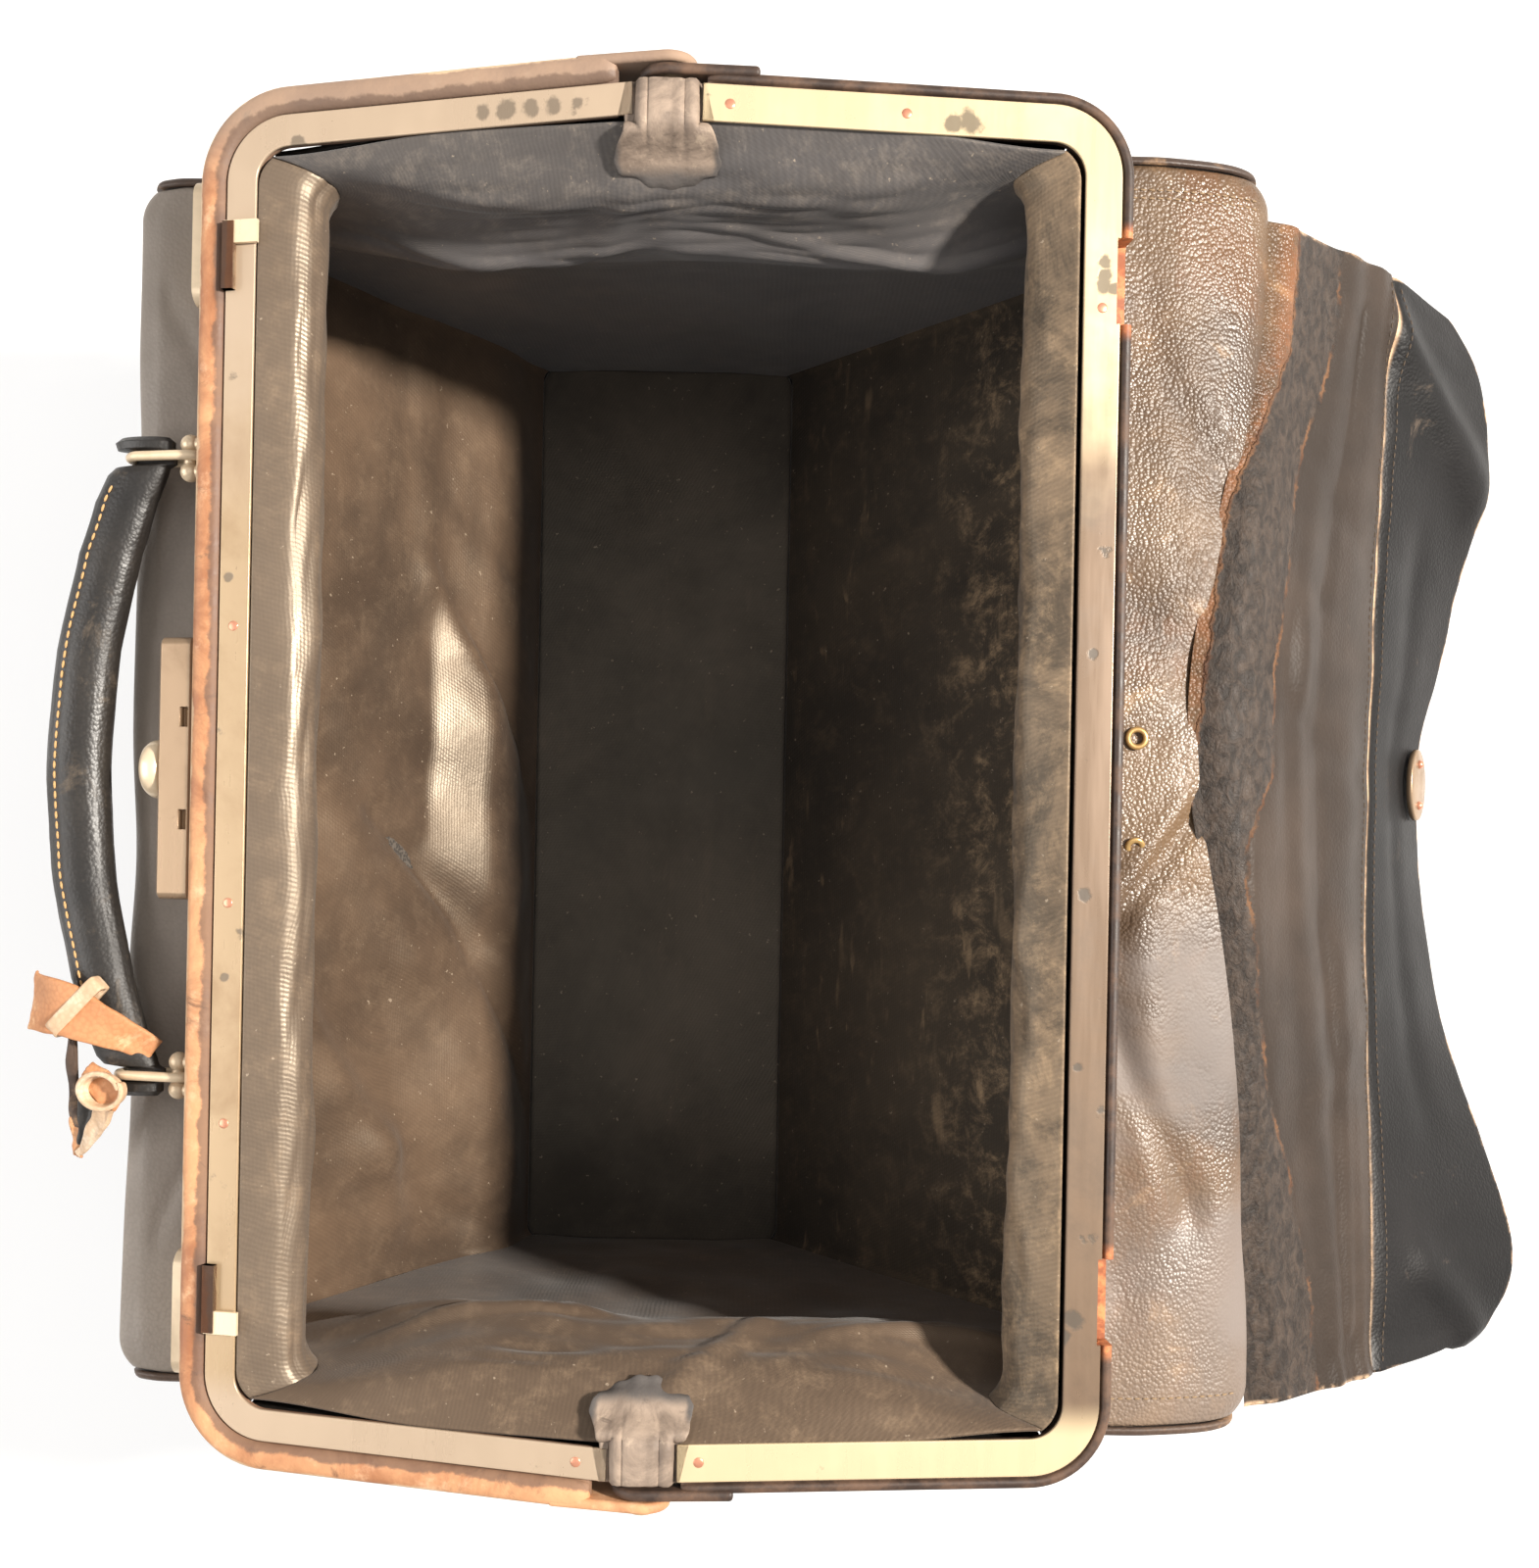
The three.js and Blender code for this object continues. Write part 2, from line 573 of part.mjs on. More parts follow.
function weltGeometry(side, end) {
  const column = columns(BODY_ROWS);
  const places = steps(WELT.steps, WELT.from, WELT.to).map((t) => {
    const edge = endWallEdge(column, side, t, WELT.inset);
    return new THREE.Vector3(edge.x, end * edge.y, edge.z);
  });
  const curve = new THREE.CatmullRomCurve3(places);
  const out = new THREE.Vector3(0, end, 0);
  const stations = places.map((place, i) => {
    const along = curve.getTangent(i / (places.length - 1));
    const across = new THREE.Vector3().crossVectors(along, out).normalize();
    return { at: place.clone().addScaledVector(out, GAP), across, up: out };
  });
  const { halfWidth, height, edgeHeight } = WELT;
  const section = [
    [-halfWidth, 0],
    [halfWidth, 0],
    [halfWidth, edgeHeight],
    [0, height],
    [-halfWidth, edgeHeight],
  ];
  return sweep(stations, () => section);
}

// The mouth frame, drawn flat: x runs out from the hinge line on the half's own side, z is up

function uPath(half, start) {
  const path = new THREE.Path();
  const inX = half.reach - half.corner;
  const inY = half.halfAtBar - half.corner;
  path.moveTo(start, half.halfAtHinge);
  path.lineTo(inX, half.halfAtBar);
  path.absarc(inX, inY, half.corner, Math.PI / 2, 0, true);
  path.lineTo(half.reach, -inY);
  path.absarc(inX, -inY, half.corner, 0, -Math.PI / 2, true);
  path.lineTo(start, -half.halfAtHinge);
  return path.getPoints(ARC_STEPS);
}

// A bar bent to the U: its section is drawn inwards from the U's outer edge, and upwards from the flat face.
function uBar(half, start, section, slant = 0) {
  const points = uPath(half, start).filter((p, i, all) => i === 0 || p.distanceTo(all[i - 1]) > SAME_POINT);
  const directions = points.slice(1).map((p, i) => p.clone().sub(points[i]).normalize());
  const stations = points.map((p, i) => {
    const before = directions[Math.max(i - 1, 0)];
    const after = directions[Math.min(i, directions.length - 1)];
    const along = before.clone().add(after).normalize();
    const spread = 1 / along.dot(after);
    const lean = i === 0 ? slant : i === points.length - 1 ? -slant : 0;
    const acrossX = along.y * spread + along.x * lean;
    const acrossY = -along.x * spread + along.y * lean;
    return {
      at: new THREE.Vector3(half.side * p.x, p.y, FACE_LIFT),
      across: new THREE.Vector3(half.side * acrossX, acrossY, 0),
      up: new THREE.Vector3(0, 0, 1),
    };
  });
  return sweep(stations, () => section);
}

function lobe(half, nearY, end) {
  const shape = new THREE.Shape();
  const { radius, length, thickness, arcSteps } = LOBE;
  shape.moveTo(half.side * length, radius);
  shape.lineTo(half.side * length, -radius);
  shape.lineTo(0, -radius);
  shape.absarc(0, 0, radius, -Math.PI / 2, Math.PI / 2, half.side > 0);
  const hole = new THREE.Path();
  hole.absarc(0, 0, RIVET.shank + RIVET.clearance, 0, 2 * Math.PI);
  shape.holes.push(hole);
  const plate = new THREE.ExtrudeGeometry(shape, {
    depth: thickness,
    bevelEnabled: false,
    curveSegments: arcSteps,
  });
  plate.rotateX(Math.PI / 2);
  return plate.translate(0, end > 0 ? nearY + thickness : -nearY, 0);
}

// A half's section: an outer wall with a rounded rim on top, and a flange that carries the strip.
function frameSection(rimTop, rim, flange) {
  return [
    [0, -WALL_DEPTH],
    ...rimTop.map(({ inward, up }) => [inward, up]),
    [rim, 0],
    [flange, 0],
    [flange, -FLANGE_THICK],
    [WALL_THICK, -FLANGE_THICK],
    [WALL_THICK, -WALL_DEPTH],
  ];
}

function frontFrame() {
  const section = frameSection(FRONT_RIM_TOP, FRONT_RIM, FRONT_FLANGE);
  const bar = uBar(FRONT_HALF, FRONT_HALF.legStart, section);
  const lobes = [1, -1].map((end) => lobe(FRONT_HALF, FRONT_LOBE_Y, end));
  const slots = [1, -1].flatMap((end) => [catchFlangeSlot(end), catchWallSlot(end)]);
  return toGeometry(cutBy(joined([bar, ...lobes]), slots));
}

function backFrame() {
  const section = frameSection(BACK_RIM_TOP, BACK_RIM, BACK_FLANGE);
  const bar = uBar(BACK_HALF, BACK_HALF.legStart, section);
  const lobes = [1, -1].map((end) => lobe(BACK_HALF, BACK_LOBE_Y, end));
  return toGeometry(cutBy(joined([bar, ...lobes]), [1, -1].map(keeperNotch)));
}

function stripSection(near, far) {
  const bottom = GAP;
  const top = bottom + STRIP_THICK;
  return [
    [near, bottom],
    [near, top - STRIP_EDGE],
    [near + STRIP_EDGE, top],
    [far - STRIP_EDGE, top],
    [far, top - STRIP_EDGE],
    [far, bottom],
  ];
}

function frontStrip() {
  const section = stripSection(FRONT_RIM + GAP, FRONT_FLANGE + GAP);
  const bar = uBar(FRONT_HALF, FRONT_HALF.stripStart, section, STRIP_SLANT);
  return toGeometry(cutBy(toSolid(bar), [1, -1].map(catchFlangeSlot)));
}

function backStrip() {
  const section = stripSection(BACK_RIM + GAP, BACK_FLANGE + GAP);
  const bar = uBar(BACK_HALF, BACK_HALF.stripStart, section, STRIP_SLANT);
  return toGeometry(cutBy(toSolid(bar), [1, -1].map(keeperNotch)));
}

function keeperNotch(end) {
  const outer = BACK_HALF.reach;
  const y = end * KEEPER.y;
  const half = KEEPER.length / 2;
  const [low, high] = flangeCut();
  return box(outer - KEEPER.depth, outer + CUT_PAST, y - half, y + half, low, high);
}

function flangeCut() {
  return [FACE_LIFT - FLANGE_CUT.below, FACE_LIFT + FLANGE_CUT.above];
}

// The catches, drawn at their outer stop. A catch slides towards the bag's middle.

function frontX(inward) {
  return -(FRONT_HALF.reach - inward);
}

function catchSpan(end, width, travel) {
  const out = end * CATCH_Y + (end * width) / 2;
  const inn = end * (CATCH_Y - travel) - (end * width) / 2;
  return [Math.min(out, inn), Math.max(out, inn)];
}

function catchFlangeSlot(end) {
  const [y0, y1] = catchSpan(end, CATCH_POST.width + 2 * GAP, CATCH_TRAVEL);
  const near = CATCH_POST.near - GAP;
  const far = CATCH_POST.far + GAP;
  const [low, high] = flangeCut();
  return box(frontX(near), frontX(far), y0, y1, low, high);
}

function catchWallSlot(end) {
  const [y0, y1] = catchSpan(end, CATCH_NECK.width + 2 * GAP, CATCH_TRAVEL);
  const bottom = FACE_LIFT + CATCH_NECK.bottom - GAP;
  const top = FACE_LIFT + CATCH_NECK.top + GAP;
  return box(frontX(-CUT_PAST), frontX(WALL_THICK + CUT_PAST), y0, y1, bottom, top);
}

function catchGeometry(end) {
  const { length, top, bottom, depth, corner, inset } = CATCH_PLATE;
  const shape = roundedRectangle(length / 2, (top - bottom) / 2, corner);
  const window = new THREE.Path();
  const halfWindow = length / 2 - corner - inset;
  const windowRadius = (top - bottom) / 2 - 2 * inset;
  window.absarc(halfWindow, 0, windowRadius, -Math.PI / 2, Math.PI / 2);
  window.absarc(inset * 2, 0, windowRadius, Math.PI / 2, 1.5 * Math.PI);
  shape.holes.push(window);
  const plate = plateAcrossX(shape, depth);
  const middle = FACE_LIFT + (top + bottom) / 2;
  plate.translate(frontX(0) - GAP - depth, end * CATCH_Y, middle);
  const neckTop = FACE_LIFT + CATCH_NECK.top;
  const neckBottom = FACE_LIFT + CATCH_NECK.bottom;
  const [neck0, neck1] = catchSpan(end, CATCH_NECK.width, 0);
  const neck = box(frontX(-depth), frontX(CATCH_POST.far), neck0, neck1, neckBottom, neckTop);
  const [post0, post1] = catchSpan(end, CATCH_POST.width, 0);
  const hookTop = FACE_LIFT + CATCH_HOOK.bottom + CATCH_HOOK.thickness;
  const post = box(frontX(CATCH_POST.near), frontX(CATCH_POST.far), post0, post1, neckBottom, hookTop);
  const [hook0, hook1] = catchSpan(end, CATCH_HOOK.width, 0);
  const hookBottom = FACE_LIFT + CATCH_HOOK.bottom;
  const hook = box(frontX(CATCH_POST.near), frontX(CATCH_HOOK.far), hook0, hook1, hookBottom, hookTop);
  return toGeometry(joined([plate, neck, post, hook]));
}

// The lock and its sliding button

function lockCase() {
  const { length, top, bottom, depth, corner, bevel, centreY } = LOCK;
  const face = frontX(0) - GAP;
  const plate = plateAcrossX(roundedRectangle(length / 2, (top - bottom) / 2, corner), depth, bevel);
  plate.translate(face - depth, centreY, FACE_LIFT + (top + bottom) / 2);
  const prongSlots = [1, -1].map((end) => {
    const { offset, length: slotLength, width, depth: slotDepth, fromFace } = LOCK_PRONG_SLOT;
    const y = centreY + end * offset;
    const half = slotLength / 2;
    const high = FACE_LIFT + top;
    const outer = face - fromFace;
    return box(outer - width, outer, y - half, y + half, high - slotDepth, high + CUT_PAST);
  });
  const neck = BUTTON.neck + GAP;
  const middle = FACE_LIFT + BUTTON.height;
  const buttonSlot = box(
    face - depth - CUT_PAST,
    face - depth + BUTTON.neckDepth + GAP,
    centreY - neck - BUTTON.travel,
    centreY + neck,
    middle - neck,
    middle + neck,
  );
  return toGeometry(cutBy(toSolid(plate), [...prongSlots, buttonSlot]));
}

function lockButton() {
  const { neck, neckDepth, sides } = BUTTON;
  const profile = [
    { radius: 0, out: -neckDepth },
    { radius: neck, out: -neckDepth },
    { radius: neck, out: GAP },
    ...BUTTON_HEAD,
  ].map(({ radius, out }) => new THREE.Vector2(radius, out));
  const turned = new THREE.LatheGeometry(profile, sides);
  turned.rotateZ(Math.PI / 2);
  return turned.translate(frontX(0) - GAP - LOCK.depth, LOCK.centreY, FACE_LIFT + BUTTON.height);
}

// The handle, drawn from its pivot: x runs out from the bag, y along it

function stapleGeometry() {
  const { standOff, barRadius, barHalf, ball, postFoot } = STAPLE;
  const sides = STAPLE_SIDES;
  const parts = [new THREE.CylinderGeometry(barRadius, barRadius, 2 * barHalf, sides.bar)];
  for (const end of [1, -1]) {
    parts.push(new THREE.SphereGeometry(ball, sides.ball, sides.ballRings).translate(0, end * barHalf, 0));
    const post = new THREE.CylinderGeometry(barRadius, postFoot, standOff - GAP, sides.post);
    post.rotateZ(Math.PI / 2);
    parts.push(post.translate((standOff - GAP) / 2, end * barHalf, 0));
  }
  return toGeometry(joined(parts));
}

function ringGeometry() {
  const { bend, straight, wire, sides, bendSteps } = RING;
  const stations = [];
  for (const [centre, from] of [
    [0, -Math.PI / 2],
    [-straight, Math.PI / 2],
  ]) {
    for (const turn of steps(bendSteps, from, from + Math.PI)) {
      const out = new THREE.Vector3(Math.cos(turn), 0, Math.sin(turn));
      const at = new THREE.Vector3(centre, 0, 0).addScaledVector(out, bend);
      stations.push({ at, across: out, up: new THREE.Vector3(0, 1, 0) });
    }
  }
  const section = steps(sides)
    .slice(1)
    .map((share) => [wire * Math.cos(2 * Math.PI * share), wire * Math.sin(2 * Math.PI * share)]);
  return sweep(stations, () => section, true);
}

function gripGeometry() {
  const mirrored = GRIP_ROWS.slice(0, -1)
    .reverse()
    .map((row) => ({ ...row, y: -row.y }));
  const rows = [...GRIP_ROWS, ...mirrored];
  const stations = rows.map((row) => ({
    at: new THREE.Vector3(-row.out, row.y, 0),
    across: new THREE.Vector3(1, 0, 0),
    up: new THREE.Vector3(0, 0, 1),
  }));
  return sweep(stations, (i) =>
    steps(GRIP_SIDES)
      .slice(1)
      .map((share) => {
        const turn = 2 * Math.PI * share;
        return [rows[i].wide * Math.cos(turn), rows[i].tall * Math.sin(turn)];
      }),
  );
}

function strapStations(rows) {
  const places = rows.map((row) => new THREE.Vector3(-row.out, row.y, row.up));
  const curve = new THREE.CatmullRomCurve3(places);
  return places.map((at, i) => {
    const along = curve.getTangent(i / (places.length - 1));
    const across = new THREE.Vector3(-along.y, along.x, 0).normalize();
    return { at, across, up: new THREE.Vector3().crossVectors(along, across).normalize() };
  });
}

function strapGeometry({ halfWidth, rows }) {
  const section = [
    [-halfWidth, 0],
    [halfWidth, 0],
    [halfWidth, STRAP_THICK],
    [-halfWidth, STRAP_THICK],
  ];
  return sweep(strapStations(rows), () => section);
}

function strapKeeperGeometry() {
  const station = strapStations(STRAP_BAND.rows)[STRAP_KEEPER.atRow];
  const { halfWidth, clearance, thickness } = STRAP_KEEPER;
  const innerX = STRAP_BAND.halfWidth + clearance;
  const innerY = STRAP_THICK / 2 + clearance;
  const shape = roundedRectangle(innerX + thickness, innerY + thickness, thickness);
  shape.holes.push(new THREE.Path(roundedRectangle(innerX, innerY, clearance).getPoints(ARC_STEPS)));
  const loop = new THREE.ExtrudeGeometry(shape, {
    depth: 2 * halfWidth,
    bevelEnabled: false,
    curveSegments: ARC_STEPS,
  });
  loop.translate(0, STRAP_THICK / 2, -halfWidth);
  const along = new THREE.Vector3().crossVectors(station.across, station.up);
  const turn = new THREE.Matrix4().makeBasis(station.across, station.up, along);
  return loop.applyMatrix4(turn.setPosition(station.at));
}

// The flap and the pocket under it

function flapSurface() {
  const column = columns(FLAP_ROWS);
  const shoulder = FLAP_SHOULDER.map((p) => new THREE.Vector2(p.x, p.z));
  const shoulderShare = (shoulder.length - 1) / (shoulder.length + 1);
  return (u, v) => {
    const y = column("y")(u);
    const crease = new THREE.Vector2(column("creaseX")(u), column("creaseZ")(u));
    if (v < FLAP_CREASE) {
      const straight = shoulder.at(-1).clone().lerp(crease, FLAP_HANG);
      const bare = column("bare")(u) * shoulderShare;
      const curve = new THREE.SplineCurve([...shoulder, straight, crease]);
      const place = curve.getPoint(THREE.MathUtils.lerp(bare, 1, v / FLAP_CREASE));
      return new THREE.Vector3(place.x, y, place.y);
    }
    const fold = new THREE.Vector3(crease.x, y, crease.y);
    const free = new THREE.Vector3(column("lipX")(u), column("lipY")(u), column("lipZ")(u)).sub(fold);
    const fromEnd = Math.min(FLAP_ROWS[0].y - y, y - FLAP_ROWS.at(-1).y);
    const inCorner = THREE.MathUtils.clamp(1 - fromEnd / FLAP_CORNER, 0, 1);
    const cut = FLAP_CORNER * (1 - Math.sqrt(1 - inCorner * inCorner));
    const share = (v - FLAP_CREASE) / (1 - FLAP_CREASE);
    return fold.addScaledVector(free, share * (1 - cut / free.length()));
  };
}

function flapGeometry() {
  const us = steps(FLAP_STEPS).map((share) => (1 - Math.cos(Math.PI * share)) / 2);
  const vs = [
    ...steps(FLAP_BEND_STEPS, 0, FLAP_CREASE),
    ...steps(FLAP_FREE_STEPS, FLAP_CREASE, 1).slice(1),
  ];
  return sheetOn(flapSurface(), us, vs, 0, LEATHER);
}

// The fastener's place: the middle of the flap's free edge, its directions along the slope and off the leather.
function flapPlate() {
  const { halfLength, halfWidth, thickness, fromEdge, standOff, arcSteps } = FLAP_PLATE;
  const row = FLAP_ROWS[Math.floor(FLAP_ROWS.length / 2)];
  const down = new THREE.Vector3(row.lipX - row.creaseX, 0, row.lipZ - row.creaseZ).normalize();
  const off = new THREE.Vector3(-down.z, 0, down.x);
  const along = new THREE.Vector3(0, 1, 0);
  const shape = new THREE.Shape();
  shape.absellipse(0, 0, halfLength, halfWidth, 0, 2 * Math.PI);
  const plate = new THREE.ExtrudeGeometry(shape, {
    depth: thickness,
    bevelEnabled: false,
    curveSegments: arcSteps,
  });
  const pins = [1, -1].map((end) => {
    const pin = new THREE.SphereGeometry(FLAP_PIN.radius, FLAP_PIN.sides, FLAP_PIN.rings);
    return pin.translate((end * FLAP_PIN.spacing) / 2, 0, thickness);
  });
  const geometry = toGeometry(joined([plate, ...pins]));
  const at = new THREE.Vector3(row.lipX, row.y, row.lipZ)
    .addScaledVector(down, -fromEdge)
    .addScaledVector(off, LEATHER + standOff);
  const side = new THREE.Vector3().crossVectors(off, along);
  return geometry.applyMatrix4(new THREE.Matrix4().makeBasis(along, side, off).setPosition(at));
}

function pocketGeometry() {
  const wall = longSide(BODY_ROWS, 1, NO_FOLDS);
  const share = POCKET.halfLength / BASE.halfLength;
  const inner = 0.5 - WRAP_SHARE;
  const us = steps(POCKET.alongSteps, 0.5 - inner * share, 0.5 + inner * share);
  const vs = steps(POCKET.steps, POCKET.from, POCKET.to);
  return sheetOn(wall, us, vs, GAP, GAP + POCKET.thickness);
}

function hingeTab(end) {
  const places = HINGE_TAB_ROWS.map((row) => new THREE.Vector3(0, end * row.y, row.z));
  const curve = new THREE.CatmullRomCurve3(places);
  const across = new THREE.Vector3(1, 0, 0);
  const stations = places.map((at, i) => {
    const along = curve.getTangent(i / (places.length - 1));
    const up = new THREE.Vector3().crossVectors(across, along).multiplyScalar(-end).normalize();
    return { at, across, up };
  });
  const half = HINGE_TAB_HALF_WIDTH;
  return sweep(stations, () => [
    [-half, 0],
    [half, 0],
    [half, CLOTH],
    [-half, CLOTH],
  ]);
}

function hingeRivet(end) {
  const { shank, head, headHeight, innerTop, outerTop, sides } = RIVET;
  const inner = BACK_LOBE_Y - GAP;
  const outer = FRONT_LOBE_Y + LOBE.thickness + GAP;
  const profile = [
    [0, inner - headHeight],
    [innerTop, inner - headHeight],
    [head, inner - headHeight / 2],
    [head, inner],
    [shank, inner],
    [shank, outer],
    [head, outer],
    [head, outer + headHeight / 2],
    [outerTop, outer + headHeight],
    [0, outer + headHeight],
  ].map(([r, y]) => new THREE.Vector2(r, y));
  const rivet = new THREE.LatheGeometry(profile, sides);
  return end > 0 ? rivet : rivet.rotateX(Math.PI);
}

function boardGeometry({ halfWidth, halfLength, corner, thickness }, bottom) {
  const shape = roundedRectangle(halfWidth, halfLength, corner);
  const board = new THREE.ExtrudeGeometry(shape, {
    depth: thickness,
    bevelEnabled: false,
    curveSegments: BOARD_CORNER_STEPS,
  });
  return board.translate(0, 0, bottom);
}

// The bag, put together

const bag = new THREE.Group();

function add(parent, name, geometry, finishName) {
  const mesh = new THREE.Mesh(geometry, finish(finishName));
  mesh.name = name;
  parent.add(mesh);
  return mesh;
}

const ENDS = { left: 1, right: -1 };
const SIDES = { front: -1, back: 1 };

add(bag, "base", boardGeometry(BASE, 0), "leather");
add(bag, "lining_floor", boardGeometry(FLOOR, BASE.thickness + GAP), "lining");
for (const [name, side] of Object.entries(SIDES)) {
  const outer = longSideSheet(BODY_ROWS, side, NO_FOLDS, BODY_LEVELS, LEATHER);
  add(bag, name + "_panel", outer, side < 0 ? "smoothLeather" : "wornLeather");
  const inner = longSideSheet(LINING_ROWS, side, LINING_FOLDS[name], LINING_LEVELS, CLOTH);
  add(bag, "lining_" + name, inner, "lining");
}
for (const [name, end] of Object.entries(ENDS)) {
  const outer = endWallSheet(BODY_ROWS, end, NO_FOLDS, GUSSET_STEPS, BODY_LEVELS, LEATHER);
  add(bag, "gusset_" + name, outer, "leather");
  const folds = LINING_FOLDS[name];
  const inner = endWallSheet(LINING_ROWS, end, folds, LINING_END_STEPS, LINING_LEVELS, CLOTH);
  add(bag, "lining_" + name, inner, "lining");
  for (const [sideName, side] of Object.entries(SIDES)) {
    add(bag, "welt_" + sideName + "_" + name, weltGeometry(side, end), "leather");
  }
  add(bag, "hinge_tab_" + name, hingeTab(end), "wornLeather");
}

const frame = new THREE.Group();
frame.position.z = HINGE_HEIGHT;
bag.add(frame);
const frontHalf = new THREE.Group();
frontHalf.rotation.y = -FRONT_HALF.droop;
const backHalf = new THREE.Group();
backHalf.rotation.y = BACK_HALF.droop;
frame.add(frontHalf, backHalf);

for (const [name, end] of Object.entries(ENDS)) {
  add(frame, "hinge_rivet_" + name, hingeRivet(end), "rustedFrame");
}
add(frontHalf, "front_frame", frontFrame(), "rustedFrame");
add(frontHalf, "front_strip", frontStrip(), "plated");
add(backHalf, "back_frame", backFrame(), "wornLeather");
add(backHalf, "back_strip", backStrip(), "plated");
add(frontHalf, "lock_case", lockCase(), "plated");
add(frontHalf, "lock_button", lockButton(), "plated");
for (const [name, end] of Object.entries(ENDS)) {
  add(frontHalf, "catch_" + name, catchGeometry(end), "plated");
}

const handle = new THREE.Group();
const pivotX = frontX(0) - STAPLE.standOff;
handle.position.set(pivotX, HANDLE_MIDDLE_Y, FACE_LIFT + STAPLE.height);
frontHalf.add(handle);
for (const [name, end] of Object.entries(ENDS)) {
  add(handle, "staple_" + name, stapleGeometry(), "plated").position.y = end * HANDLE_Y;
  add(handle, "ring_" + name, ringGeometry(), "plated").position.y = end * HANDLE_Y;
}
add(handle, "handle_grip", gripGeometry(), "handle");
add(handle, "strap_band", strapGeometry(STRAP_BAND), "tanLeather");
add(handle, "strap_tail", strapGeometry(STRAP_TAIL), "tanLeather");
add(handle, "strap_keeper", strapKeeperGeometry(), "tanLeather");

add(bag, "pocket_front", pocketGeometry(), "leather");
add(bag, "pocket_flap", flapGeometry(), "wornLeather");
add(bag, "flap_plate", flapPlate(), "plated");

export default bag;
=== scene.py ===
# %% [markdown]
# # An old leather travel bag, standing open
#
# The bag stands on its base with its mouth frame laid open, so the lining, the frame's plated strips and
# the outside flap are what one sees from above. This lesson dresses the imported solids: it keeps their
# frame and their sizes, and rebuilds each soft or rounded piece more finely than a faceted solid can be.
# Everything is worked out in millimetres and turned to metres when a mesh is made.

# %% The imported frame
import math

import bmesh
import bpy
import numpy as np
from mathutils import Matrix, Vector


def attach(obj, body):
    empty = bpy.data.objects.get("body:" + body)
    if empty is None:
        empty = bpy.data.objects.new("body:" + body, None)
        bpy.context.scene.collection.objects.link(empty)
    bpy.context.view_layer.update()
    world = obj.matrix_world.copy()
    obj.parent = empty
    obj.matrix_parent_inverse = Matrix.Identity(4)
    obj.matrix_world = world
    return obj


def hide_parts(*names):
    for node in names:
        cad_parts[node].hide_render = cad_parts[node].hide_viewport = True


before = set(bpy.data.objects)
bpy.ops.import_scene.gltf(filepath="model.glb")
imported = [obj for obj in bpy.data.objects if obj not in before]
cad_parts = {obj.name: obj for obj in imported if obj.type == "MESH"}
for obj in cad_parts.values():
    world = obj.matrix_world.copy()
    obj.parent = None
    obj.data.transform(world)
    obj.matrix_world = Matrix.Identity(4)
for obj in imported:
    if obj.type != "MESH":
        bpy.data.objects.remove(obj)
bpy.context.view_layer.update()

MM = 0.001
scene = bpy.context.scene

# %% [markdown]
# ## Camera, light and floor
#
# The picture was taken from straight above, a little off the bag's middle. A camera that looks straight
# down and is shifted sideways keeps the floor parallel to the picture, which a tilted one would not. The
# light is a broad lamp from the flap's side, which lights the handle side's inner wall and leaves the
# floor of the bag dark, and a pale world that fills the shadows.

# %% Camera and light
EYE = (5.2, -20.6, 712)  # where the picture was taken from
ROLL = math.radians(-1.1)  # the bag lies a little turned in the picture
FOCAL_PX, LONG_SIDE_PX = 1714, 1600
MIDDLE_PX, FOOT_PX = (785, 800), (685, 872)  # the picture's middle, and the point right under the camera

camera_data = bpy.data.cameras.new("camera")
camera_data.sensor_fit = "AUTO"
camera_data.sensor_width = 36
camera_data.lens = 36 * FOCAL_PX / LONG_SIDE_PX
camera_data.shift_x = (MIDDLE_PX[0] - FOOT_PX[0]) / LONG_SIDE_PX
camera_data.shift_y = (FOOT_PX[1] - MIDDLE_PX[1]) / LONG_SIDE_PX
camera_data.clip_start, camera_data.clip_end = 0.01, 20
camera = bpy.data.objects.new("camera", camera_data)
camera.location = [c * MM for c in EYE]
camera.rotation_euler = (0, 0, -ROLL)
scene.collection.objects.link(camera)
scene.camera = camera


def lamp(name, place, aim, width, height, watts, colour=(1, 1, 1)):
    data = bpy.data.lights.new(name, "AREA")
    data.shape, data.size, data.size_y = "RECTANGLE", width, height
    data.energy, data.color = watts, colour
    light = bpy.data.objects.new(name, data)
    light.location = place
    light.rotation_euler = (Vector(aim) - Vector(place)).to_track_quat("-Z", "Y").to_euler()
    scene.collection.objects.link(light)


lamp("key", (1.3, 0.27, 1.48), (-0.06, 0, 0.1), 0.16, 0.16, 84, (1, 0.94, 0.86))
lamp("top", (0.1, 0, 2.1), (0, 0, 0.1), 1.5, 1.5, 5, (1, 0.99, 0.97))
lamp("fill", (-1.6, -0.1, 1.0), (0, 0, 0.15), 1.4, 1.4, 24, (1, 0.98, 0.96))
world = bpy.data.worlds.new("studio")
world.use_nodes = True
world.node_tree.nodes["Background"].inputs["Color"].default_value = (1, 0.99, 0.98, 1)
world.node_tree.nodes["Background"].inputs["Strength"].default_value = 0.5
scene.world = world
scene.view_settings.view_transform = "Standard"
print("camera:", round(camera_data.lens, 1), "mm lens,", EYE[2], "mm above the floor")

# %% [markdown]
# ## How the sheets are made
#
# Leather and lining are sheets. A table gives the bag's section at each level, and a smooth curve through
# each column turns the rows into a surface. One could draw each wall by hand and let a modifier give it
# thickness. The tables are used because the solids were made from the same rows, so both fit each other.
# A sheet is closed all round, with its edges rounded off, and carries a UV map in its own measure.


# %% Curves through tables
ENDS = (("left", 1), ("right", -1))  # the bag's two ends, and their direction along Y
SIDES = (("front", -1), ("back", 1))  # its two long sides, and their direction along X


